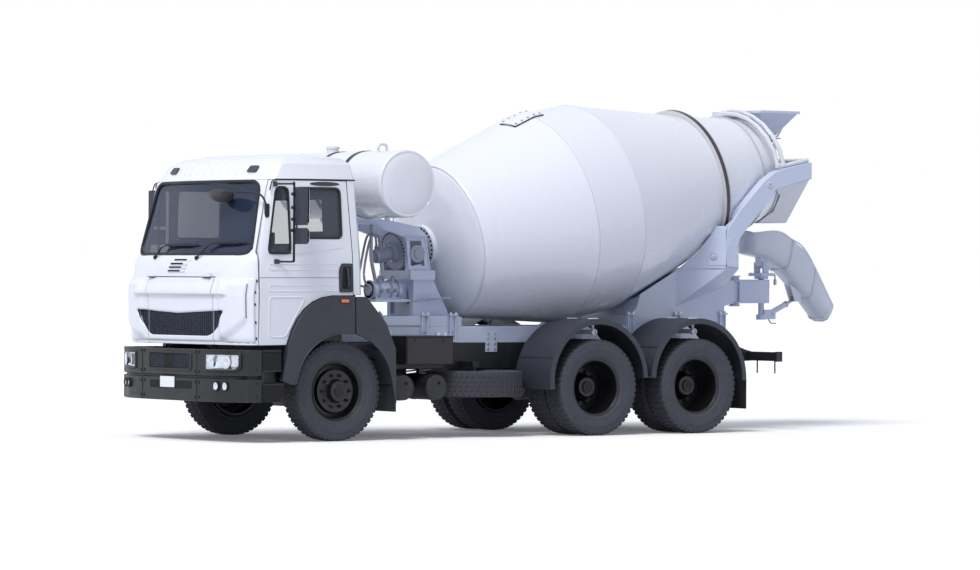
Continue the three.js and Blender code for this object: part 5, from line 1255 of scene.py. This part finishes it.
# Glossy white tubes.
tube_white = coated("white_tube_enamel", "#e4e6ec", "#dadde5", 200, 0.3, Coat_Weight=0.4)
for side, way in BOTH_SIDES:
    work = bmesh.new()
    for station, start, end in zip(REAR_AXLES, (-98, -88), (88, 92)):
        path = [place(station + ARCH_RADIUS * math.sin(a), way * ARCH_Y,
                      ARCH_Z + ARCH_RADIUS * math.cos(a))
                for a in (math.radians(start + (end - start) * k / 40) for k in range(41))]
        section = [(0, -318), (0, 306), (3, 315), (12, 318), (60, 318), (60, 308), (16, 306), (10, 300),
                   (10, -318)]
        swept(work, path, [(a, way * b) for a, b in section], up=Y_AXIS)
        for angle in (start + 30, end - 30):
            a = math.radians(angle)
            reach = ARCH_RADIUS + 1
            middle = place(station + reach * math.sin(a), way * ARCH_Y, ARCH_Z + reach * math.cos(a))
            bead = [middle + Vector((0, b / 1000, 0)) for b in (-300, 300)]
            swept(work, bead, round_section(7, 8))
    piece = shown("mudguard_arches_" + side, work, charcoal, "mudguard_" + side,
                  crease=40)
    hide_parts("mudguard_" + side)
    work = bmesh.new()
    for station in REAR_AXLES:
        swept(work, [place(station, way * y, 1120) for y in (RAIL_FACE, 1160)], round_section(24, 16))
        for y in (760, 1140):
            swept(work, [place(station, way * y, z) for z in (1118, 1258)], round_section(14, 12))
            swept(work, route((station - 60, way * y, 1256), (station + 60, way * y, 1256)),
                  round_section(16, 10))
        slab(work, (station - 55, station + 55), (way * RAIL_FACE, way * 447), (1060, 1178))
        for y in (520, 1130):
            turned(work, [(y, 34), (y + 44, 34), (y + 44, 24)], place(station, 0, 1120), Y_AXIS * way,
                   16)
    shown("mudguard_stays_" + side, work, tube_white, "mudguard_" + side, crease=40)
    work = bmesh.new()
    slab(work, (5333, 5345), (way * 632, way * 1266), (262, 600))
    slab(work, (3956, 4024), (way * 634, way * 1266), (621, 633))
    for z in (300, 340, 380):
        slab(work, (5345, 5349), (way * 690, way * 1210), (z, z + 14))
    shown("mudflap_" + side, work, seal_rubber, "mudguard_" + side, 3)

# ------------------------------------------------------------------ front pedestal, gearbox and pump
# Welded plate in grey paint: tower, saddle frame and tank shelf. The drum's planetary gearbox
# has a ring of flange bolts, a hydraulic motor in front and a pump below with its steel pipes.

# Light grey castings, a bit rough.
gear_grey = coated("grey_gearbox_casting", "#a9aebd", "#9da2b2", 70, 0.45, grain_mm=3, relief_mm=0.2)
refined("front_pedestal", mixer_grey, 0, join=False)
DRUM_TILT = math.radians(11.23)
drum_axis = Vector((-math.cos(DRUM_TILT), 0, math.sin(DRUM_TILT)))
drum_origin = place(3352, 0, 2352)


def on_axis(work, profile, segments=128):
    """A profile turned about the drum's axis, from distances behind the belly's start."""
    turned(work, profile, drum_origin, drum_axis, segments)


work = bmesh.new()
on_axis(work, [(-2190, 0), (-2190, 60), (-2180, 75), (-1996, 75), (-1990, 110), (-1936, 112),
               (-1934, 150), (-1931, 222), (-1926, 225), (-1893, 225), (-1889, 220), (-1886, 206),
               (-1700, 193), (-1622, 192), (-1618, 150), (-1561, 148), (-1561, 0)], 72)
piece = shown("gearbox_case", work, gear_grey, "drum_gearbox", 2)
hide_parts("drum_gearbox")
unit = bmesh.new()
turned(unit, [(0, 0), (0, 11), (9, 11), (9, 0)], Vector((0.208, 0, 0)), UP, 6)
ringed("gearbox_bolts", unit, 32, drum_origin + drum_axis * -1.937, drum_axis, steel_dark,
       "drum_gearbox")
unit = bmesh.new()
turned(unit, [(0, 0), (0, 12), (14, 12), (14, 0)], Vector((0.092, 0, 0)), UP, 6)
ringed("motor_bolts", unit, 6, drum_origin + drum_axis * -2.008, drum_axis, zinc, "drum_gearbox")
work = bmesh.new()
motor_end = drum_origin + drum_axis * -2.13
for k in range(5):
    on_axis(work, [(-2150 + 26 * k, 75), (-2148 + 26 * k, 82), (-2138 + 26 * k, 82),
                   (-2136 + 26 * k, 75)], 36)
for y in (-40, 40):
    turned(work, [(0, 22), (36, 22), (36, 15), (60, 15), (60, 0)],
           motor_end + Vector((0, y, 66)) / 1000, UP, 14)
shown("motor_fittings", work, gear_grey, "drum_gearbox", crease=40)
work = bmesh.new()
for y, low in ((-40, -60), (40, 20)):
    start = motor_end + Vector((0, y, 120)) / 1000
    pipe = [start, start + Vector((0.02, 0, 0.09)), start + Vector((0.13, 0.01, 0.08)),
            place(1040, y + 20, 1800), place(1060, y + low, 1640), place(1150, y + low, 1600)]
    swept(work, smooth_path(pipe, 8), round_section(13, 10))
pipe = route((1040, 190, 2330), (1040, 190, 2100), (1050, 180, 1900), (1120, 150, 1680))
swept(work, smooth_path(pipe, 8), round_section(20, 12))
shown("hydraulic_pipes", work, gear_grey, "front_pedestal", crease=60)
work = bmesh.new()
pump_end = place(0, 60, 1570)
for station in (1100, 1180, 1330, 1420):
    turned(work, [(station, 96), (station, 104), (station + 18, 104), (station + 18, 96)], pump_end,
           Vector((-1, 0, 0)), 32)
turned(work, [(1085, 0), (1085, 60), (1100, 66), (1100, 90)], pump_end, Vector((-1, 0, 0)), 32)
for station, y in ((1200, 100), (1290, 20), (1380, 90)):
    turned(work, [(0, 30), (40, 30), (44, 22), (70, 22), (70, 0)], place(station, y, 1650),
           Vector((0, 0.3, 1)), 14)
    turned(work, [(0, 26), (34, 26), (36, 18), (60, 18), (60, 0)], place(station, 140, 1560),
           Vector((0, 1, 0.1)), 14)
shown("pump_rings", work, gear_grey, "front_pedestal", crease=40)
spots = [(place(1200 + 60 * k, 152, 1560 + 22 * math.sin(1.6 * k)), Vector((0, 1, 0)))
         for k in range(5)]
spots += [(place(1478, y, z), AHEAD) for y in (-260, 260) for z in (1720, 1760)]
bolted("pump_bolts", spots, 20, 12, zinc, "front_pedestal")
work = bmesh.new()
for way in (1, -1):
    wing = route((1552, 250, 1440), (1663, 430, 1480), (2017, 300, 1478), (1900, 250, 1470), way=way)
    plate(work, wing, (0, 0, 12))
    slab(work, (1030, 1620), (way * 430, way * 442), (1190, 1285))
    slab(work, (1030, 1620), (way * 420, way * 442), (1281, 1290))
    slab(work, (1560, 1760), (way * 262, way * 268), (1790, 1812))
    path = [place(s, way * 268, z) for s, z in ((1480, 1775), (1440, 2155), (1690, 2155), (1760, 1775))]
    swept(work, path, [(-9, -6), (9, -6), (9, 6), (-9, 6)], up=Y_AXIS, closed=True)
    shelf = [place(s, way * 262, z) for s, z in ((700, 2290), (1060, 2270), (1130, 2225), (1450, 2130),
                                                 (1690, 2130))]
    swept(work, shelf, [(-5, -14), (5, -14), (5, 22), (-5, 22)], up=Vector((0, way, 0)))
shown("pedestal_plates", work, mixer_grey, "front_pedestal", 3)
work = bmesh.new()
for way in (1, -1):
    turned(work, [(262, 0), (262, 96), (272, 96), (276, 88), (276, 54), (290, 50), (290, 0)],
           place(1590, 0, 1960), Y_AXIS * way, 32)
shown("saddle_caps", work, gear_grey, "front_pedestal", crease=40)


def u_clamps(name, stations, rides, foot=1178, top=1300):
    """Threaded U-bolts that hold a support down on the subframe, with a bridge and two nuts."""
    work = bmesh.new()
    spots = []
    for station in stations:
        for way in (1, -1):
            for shift in (-34, 34):
                shank = [place(station + shift, way * 456, z) for z in (foot - 150, top + 34)]
                swept(work, shank, round_section(10, 10))
                spots.append((place(station + shift, way * 456, top + 16), UP))
            slab(work, (station - 58, station + 58), (way * 432, way * 480), (top - 6, top + 10))
            slab(work, (station - 70, station + 70), (way * 444, way * 470), (foot - 170, foot - 145))
            slab(work, (station - 50, station + 50), (way * 430, way * 441), (foot - 60, top - 6))
    shown(name, work, mixer_grey, rides, 3)
    bolted(name + "_nuts", spots, 30, 20, zinc, rides)


u_clamps("front_u_bolts", (1560, 1930), "front_pedestal")

# ------------------------------------------------------------------ water tank
# A rolled and dished tank in white enamel with two dark hoop straps, a rim at each end, a
# filler and an inverted U breather on top.

# Glossy white, smooth.
tank_white = coated("white_tank_enamel", "#eceef4", "#e6e8f0", 700, 0.26, 0.03, grain_mm=6,
                    relief_mm=0.03, Coat_Weight=0.5)
tank_centre = place(955, 0, 2694)
half = [(0, 359), (930, 359), (972, 358), (990, 352), (996, 346), (1004, 346), (1004, 330), (1000, 326),
        (1012, 300), (1026, 220), (1034, 110), (1036, 0)]
work = bmesh.new()
turned(work, [(-a, r) for a, r in half[::-1]] + half[1:], tank_centre, Y_AXIS, 96)
for way in (1, -1):
    slab(work, (755, 1125), (way * 230, way * 262), (2325.5, 2440))
piece = shown("water_tank_shell", work, tank_white, "water_tank", crease=28)
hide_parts("water_tank")
work = bmesh.new()
for y in (-245, 245):
    turned(work, [(y - 32, 358), (y - 32, 364), (y + 32, 364), (y + 32, 358)], tank_centre, Y_AXIS, 96)
shown("tank_straps", work, steel_dark, "water_tank", crease=40)
work = bmesh.new()
breather = route((1010, 520, 3030), (1010, 520, 3090), (985, 520, 3118), (930, 520, 3118),
                 (905, 520, 3090), (905, 520, 3040))
swept(work, smooth_path(breather, 6), round_section(15, 12))
turned(work, [(0, 66), (40, 66), (44, 74), (64, 74), (70, 60), (70, 0)], place(955, -430, 3045), UP, 32)
for y in (-620, 620):
    turned(work, [(0, 30), (20, 30), (24, 20), (24, 0)], place(955, y, 2335), Vector((0, 0, -1)), 16)
shown("tank_fittings", work, tube_white, "water_tank", crease=50)

# ------------------------------------------------------------------ mixing drum
# A rolled and welded drum in white enamel: bolted head, knuckle, front cone, belly and rear
# cone, with a machined roller ring, a stiffening band, an inspection hatch and spiral blades.

# Large smooth white surface with a soft blue shade.
drum_white = coated("white_drum_enamel", "#eceef6", "#e6e8f2", 1400, 0.28, 0.04, grain_mm=9,
                    relief_mm=0.05, Coat_Weight=0.5)
# Off-white primer at the ring's flanks.
ring_cream = coated("cream_ring_primer", "#cfd0d4", "#c4c2bf", 120, 0.5)
# Blue-brown worn steel where the rollers run.
ring_steel = coated("blued_running_surface", "#3b4458", "#5b4a3c", 90, 0.4, grain_mm=3, relief_mm=0.08,
                    Metallic=0.5)
# A faint raised line round the drum.
weld_line = coated("painted_weld_bead", "#d3d6e0", "#c9ccd8", 60, 0.45, grain_mm=4, relief_mm=0.4)
BELLY, LENGTH, HEAD, HEAD_R, WALL = 1169, 630, 1328, 841, 20
DRUM_LINE = [(-HEAD, HEAD_R), (0, BELLY), (LENGTH, BELLY), (2075, 801), (2786, 648), (3050, 584)]


def filleted(points, radius, steps=6):
    """An open profile with its inner corners rounded."""
    path = [Vector(points[0])]
    for a, b, c in zip(points, points[1:], points[2:]):
        a, b, c = Vector(a), Vector(b), Vector(c)
        reach = min(radius, (a - b).length * 0.4, (c - b).length * 0.4)
        start, end = b + (a - b).normalized() * reach, b + (c - b).normalized() * reach
        path += [(1 - t) ** 2 * start + 2 * t * (1 - t) * b + t * t * end
                 for t in (k / steps for k in range(steps + 1))]
    return path + [Vector(points[-1])]


def drum_radius(along):
    """The drum's radius at a distance behind the belly's start."""
    for (a0, r0), (a1, r1) in zip(DRUM_LINE, DRUM_LINE[1:]):
        if along <= a1:
            return r0 + (r1 - r0) * (along - a0) / (a1 - a0)
    return DRUM_LINE[-1][1]


outside = filleted([(-1505, 258), (-1420, 620), *DRUM_LINE], 45, 8)
inner = [(3050, 564), (2786, 628), (2075, 781), (625, 1149), (5, 1149), (-1313, 821), (-1400, 590),
         (-1470, 240), (-1470, 0)]
work = bmesh.new()
head = [(-1550, 0), (-1550, 214), (-1546, 218), (-1508, 218), (-1505, 222)]
on_axis(work, head + [tuple(p) for p in outside] + inner)
piece = shown("drum_shell", work, drum_white, "drum", crease=30)
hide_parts("drum")
work = bmesh.new()
for along in (-1326, -6, 636):
    r = drum_radius(along)
    on_axis(work, [(along - 6, r - 3), (along - 3, r + 1.5), (along + 3, r + 1.5), (along + 6, r - 3)])
shown("drum_welds", work, weld_line, "drum", crease=60)
work = bmesh.new()
for profile in ([(2036, 804), (2036, 856), (2041, 862), (2050, 862), (2050, 850)],
                [(2100, 850), (2100, 862), (2109, 862), (2114, 856), (2114, 790)],
                [(2770, 645), (2772, 664), (2800, 660), (2800, 640)],
                [(3022, 585), (3024, 603), (3052, 598), (3052, 560)]):
    on_axis(work, profile)
shown("drum_rings", work, ring_cream, "drum", crease=40)
work = bmesh.new()
on_axis(work, [(2052, 850), (2054, 861), (2096, 861), (2098, 850)])
shown("ring_track", work, ring_steel, "drum", crease=40)
unit = bmesh.new()
turned(unit, [(0, 0), (0, 12), (12, 12), (12, 0)], Vector((0.190, 0, 0)), Vector((0, 0, -1)), 6)
ringed("drum_flange_bolts", unit, 24, drum_origin + drum_axis * -1.549, drum_axis, steel_dark, "drum")
drum_up = Vector((math.sin(DRUM_TILT), 0, math.cos(DRUM_TILT)))


def on_drum(along, angle, proud=0):
    """A point on the drum's skin; the angle is from the top towards the left."""
    out = drum_up * math.cos(angle) + Y_AXIS * math.sin(angle)
    return drum_origin + drum_axis * along / 1000 + out * (drum_radius(along) + proud) / 1000


HATCH = (-70, math.radians(7))  # middle, along the drum and round it
HATCH_LONG, HATCH_WIDE, HATCH_PROUD = 190, 0.12, 26  # half length in mm, half width in radians
work = bmesh.new()
grid = [[work.verts.new(on_drum(HATCH[0] + HATCH_LONG * u, HATCH[1] + HATCH_WIDE * v,
                                HATCH_PROUD - 10 * max(abs(u), abs(v)) ** 8))
         for v in (k / 6 - 1 for k in range(13))] for u in (k / 6 - 1 for k in range(13))]
rim = [grid[0], [row[-1] for row in grid], grid[-1][::-1], [row[0] for row in grid][::-1]]
for a, b in zip(grid, grid[1:]):
    for k in range(12):
        work.faces.new((a[k], b[k], b[k + 1], a[k + 1]))
skirt = [v for edge in rim for v in edge[:-1]]
feet = [work.verts.new(v.co - (v.co - drum_origin).normalized() * 0.02) for v in skirt]
for i in range(len(skirt)):
    j = (i + 1) % len(skirt)
    work.faces.new((skirt[i], skirt[j], feet[j], feet[i]))
shown("inspection_hatch", work, drum_white, "drum", crease=40)
work = bmesh.new()
gasket = rounded([(-196, -0.124), (196, -0.124), (196, 0.124), (-196, 0.124)], 0.02, 3)
swept(work, [on_drum(HATCH[0] + p.x, HATCH[1] + p.y, 4) for p in dense(gasket, 30)],
      round_section(7, 8), closed=True)
shown("hatch_gasket", work, seal_rubber, "drum", crease=60)
spots = []
for u in (-0.86, -0.43, 0, 0.43, 0.86):
    for v in (-0.84, 0.84):
        along, angle = HATCH[0] + HATCH_LONG * u, HATCH[1] + HATCH_WIDE * v
        top = on_drum(along, angle, HATCH_PROUD)
        spots.append((top, (top - on_drum(along, angle, 0)).normalized()))
bolted("hatch_bolts", spots, 24, 14, zinc, "drum")
work = bmesh.new()
for start in (0, math.pi):
    rows = []
    for k in range(61):
        along = 900 + 2100 * k / 60
        angle = start + 2.6 * math.pi * k / 60
        r = drum_radius(along) - WALL
        out = drum_up * math.cos(angle) + Y_AXIS * math.sin(angle)
        rows.append([work.verts.new(drum_origin + drum_axis * (along + lean) / 1000 + out
                                    * (r - depth) / 1000)
                     for depth, lean in ((0, 0), (170, 30), (172, 36), (4, 8))])
    for a, b in zip(rows, rows[1:]):
        for k in range(4):
            work.faces.new((a[k], b[k], b[(k + 1) % 4], a[(k + 1) % 4]))
shown("spiral_blades", work, gear_grey, "drum", crease=40)

# ------------------------------------------------------------------ rear pedestal and arms
# Folded plate in grey paint on U-bolts, rollers under the ring, and two box arms with patch
# plates at their feet and a lifting eye near the top.
refined("rear_pedestal", mixer_grey, 6)
u_clamps("rear_u_bolts", (4345, 5010, 5655), "rear_pedestal")
for side, way in BOTH_SIDES:
    refined("rear_arm_" + side, mixer_grey, 7)
    work = bmesh.new()
    outline = rounded([(5398, 1832), (5564, 1832), (5564, 2090), (5530, 2180), (5410, 2140)], 26, 4)
    plate(work, [place(p.x, way * 840.5, p.y) for p in outline], (0, way * 8, 0))
    turned(work, [(840, 34), (848, 34), (852, 28), (852, 16), (844, 14)], place(6010, 0, 2760),
           Y_AXIS * way, 24)
    path = [place(s, way * 840, z) for s, z in ((6160, 2738), (6610, 2848), (6610, 3008))]
    swept(work, path, [(-4, -4), (4, -4), (4, 4), (-4, 4)], up=Y_AXIS)
    shown("arm_plates_" + side, work, mixer_grey, "rear_arm_" + side, 2)
    spots = [(place(s, way * 848, z), Vector((0, way, 0))) for s in (5425, 5540)
             for z in (1860, 1960, 2060)]
    bolted("arm_bolts_" + side, spots, 26, 12, mixer_grey, "rear_arm_" + side)
    work = bmesh.new()
    (s0, y0), (s1, y1) = [(5000 + 391 * t, 430 + 410 * t) for t in (0.62, 0.99)]
    outline = [(s0, y0, 1850), (s1, y1, 1850), (s1, y1, 2010), (s0 + 60, y0 + 60, 2010), (s0, y0, 1960)]
    plate(work, [place(s, way * (y + 2), z) for s, y, z in outline], (0, way * 8, 0))
    middle = place(5290, way * 745, 1960)
    out = Vector((0.72, way * 0.69, 0))
    turned(work, [(0, 42), (14, 42), (18, 34), (8, 28), (8, 18), (26, 16), (26, 0)], middle, out, 24)
    shown("wing_plates_" + side, work, mixer_grey, "rear_pedestal", 2)

# ------------------------------------------------------------------ mouth frame, hopper and collector
# White bent tubes over the drum's mouth carry a sheet-steel hopper with a black rubber neck;
# the collector below gathers the concrete onto the chute.
refined("mouth_frame", tube_white, 0, 60)
refined("charging_hopper", mixer_grey, 3)
refined("discharge_collector", tube_white, 3)
work = bmesh.new()
rim = [place(s, y, 3611) for s, y in ((6215, -440), (6780, -440), (6780, 440), (6215, 440))]
swept(work, rim, [(-6, -26), (6, -26), (6, 4), (-6, 4)], closed=True)
for y in (-150, 150):
    plate(work, route((6655, y, 3318), (6780, y * 1.6, 3560), (6700, y, 3330)), (0, 8, 0))
shown("hopper_rim_flats", work, mixer_grey, "charging_hopper", 2)
work = bmesh.new()
neck = [[(6318, -195), (6605, -195), (6605, 195), (6318, 195)],
        [(6300, -170), (6560, -170), (6560, 170), (6300, 170)]]
rings = [[work.verts.new(place(s, y, z)) for s, y in corners] for corners, z in zip(neck, (3298, 3190))]
inner = [[work.verts.new(place(s * 0.98 + 129, y * 0.94, z)) for s, y in corners]
         for corners, z in zip(neck, (3298, 3190))]
for i in range(4):
    j = (i + 1) % 4
    work.faces.new((rings[0][i], rings[0][j], rings[1][j], rings[1][i]))
    work.faces.new((inner[0][i], inner[1][i], inner[1][j], inner[0][j]))
    work.faces.new((rings[0][i], inner[0][i], inner[0][j], rings[0][j]))
    work.faces.new((rings[1][i], rings[1][j], inner[1][j], inner[1][i]))
shown("hopper_neck_rubber", work, seal_rubber, "charging_hopper", 3)

# ------------------------------------------------------------------ chute, cradle and jack
# A rolled trough with folded lips and ribs under it, turning on a pin in the cradle; a screw
# jack with a crank sets its slope.

# Off-white, scuffed a little.
chute_white = coated("off_white_chute_enamel", "#dfe3ee", "#d7dbe7", 300, 0.34, grain_mm=6,
                     relief_mm=0.06, Coat_Weight=0.25)
refined("chute_cradle", mixer_grey, 3)
refined("chute", chute_white, 0, 58)
refined("jack_barrel", mixer_grey, 2)
# Ground bright steel of the screw and its crank.
bright = coated("ground_screw_steel", "#a7aab1", "#92959d", 30, 0.3, grain_mm=2, relief_mm=0.05,
                Metallic=1.0)
refined("jack_rod", bright, 1)
TROUGH = [((6300, 1995), (6285, 2218), 150), ((6370, 1975), (6355, 2232), 240),
          ((6585, 1940), (6620, 2245), 262), ((6800, 1830), (6830, 2160), 245),
          ((7080, 1577), (7080, 2005), 225), ((7450, 1205), (7500, 1380), 208)]


def trough_line(share, proud, part=(0, 1)):
    """Points across the outside of the trough at a share of its length."""
    t = share * (len(TROUGH) - 1)
    k = min(int(t), len(TROUGH) - 2)
    t -= k
    (b0, r0, h0), (b1, r1, h1) = TROUGH[k], TROUGH[k + 1]
    bottom, rim, half = [[p + (q - p) * t for p, q in zip(a, b)]
                         for a, b in ((b0, b1), (r0, r1), ((h0,), (h1,)))]
    points = []
    for i in range(17):
        angle = math.pi * (part[0] + (part[1] - part[0]) * i / 16)
        depth = min(1, 1.25 * math.sin(angle))
        points.append(place(rim[0] + (bottom[0] - rim[0]) * depth, (half[0] + proud) * math.cos(angle),
                            rim[1] + (bottom[1] - rim[1]) * depth - proud * depth))
    return points


work = bmesh.new()
for way in (1, -1):
    lip = [place(rim[0], way * half, rim[1] - 4) for _, rim, half in TROUGH]
    lip[-1] += (lip[-2] - lip[-1]).normalized() * 0.016
    swept(work, smooth_path(lip, 6), round_section(9, 10))
tip = trough_line(0.98, 2)
swept(work, tip, round_section(9, 10), up=Vector((-0.5, 0, 0.6)))
for share in (0.62, 0.86):
    swept(work, trough_line(share, 3), [(-16, -4), (16, -4), (16, 5), (-16, 5)],
          up=Vector((-0.6, 0, 0.5)))
shown("chute_lips", work, chute_white, "chute", crease=60)
work = bmesh.new()
base, eye = place(6710, 0, 1300), place(7090, 0, 1470)
along = (eye - base).normalized()
crank = [base - along * 0.012, base - along * 0.05, base - along * 0.055 + Vector((-0.01, 0, -0.02)),
         base - along * 0.04 + Vector((-0.05, 0, -0.085)),
         base - along * 0.04 + Vector((-0.055, 0.01, -0.095)),
         base - along * 0.04 + Vector((-0.055, 0.09, -0.095))]
swept(work, crank, round_section(8, 10), up=Y_AXIS)
turned(work, [(250, 32), (252, 37), (276, 37), (278, 30)], base, along, 24)
shown("jack_crank", work, bright, "jack_barrel", crease=50)
spots = [(place(6585 + s, way * 132, 1764), UP) for s in (-70, 70) for way in (0.75, -0.75)]
bolted("cradle_bolts", spots, 20, 12, zinc, "chute_cradle")
work = bmesh.new()
handle = route((6640, 60, 1752), (6712, 72, 1752), (6726, 75, 1738), (6728, 75, 1690))
swept(work, smooth_path(handle, 5), round_section(9, 10))
turned(work, [(0, 15), (4, 18), (60, 18), (66, 12), (66, 0)], place(6728, 75, 1694), Vector((0, 0, -1)),
       16)
shown("swivel_brake_handle", work, bright, "chute_cradle", crease=50)
work = bmesh.new()
for z in (1425, 1672):
    slab(work, (6140, 6590), (-100, 100), (z - 6, z + 10))
swept(work, route((6190, 0, 1390), (6190, 0, 1735)), round_section(56, 24))
turned(work, [(0, 68), (14, 68), (14, 0)], place(6190, 0, 1722), UP, 24)
turned(work, [(0, 68), (14, 68), (14, 0)], place(6190, 0, 1398), Vector((0, 0, -1)), 24)
shown("post_collars", work, mixer_grey, "rear_pedestal", 2)

# ------------------------------------------------------------------ sizes and the last line
low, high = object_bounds()
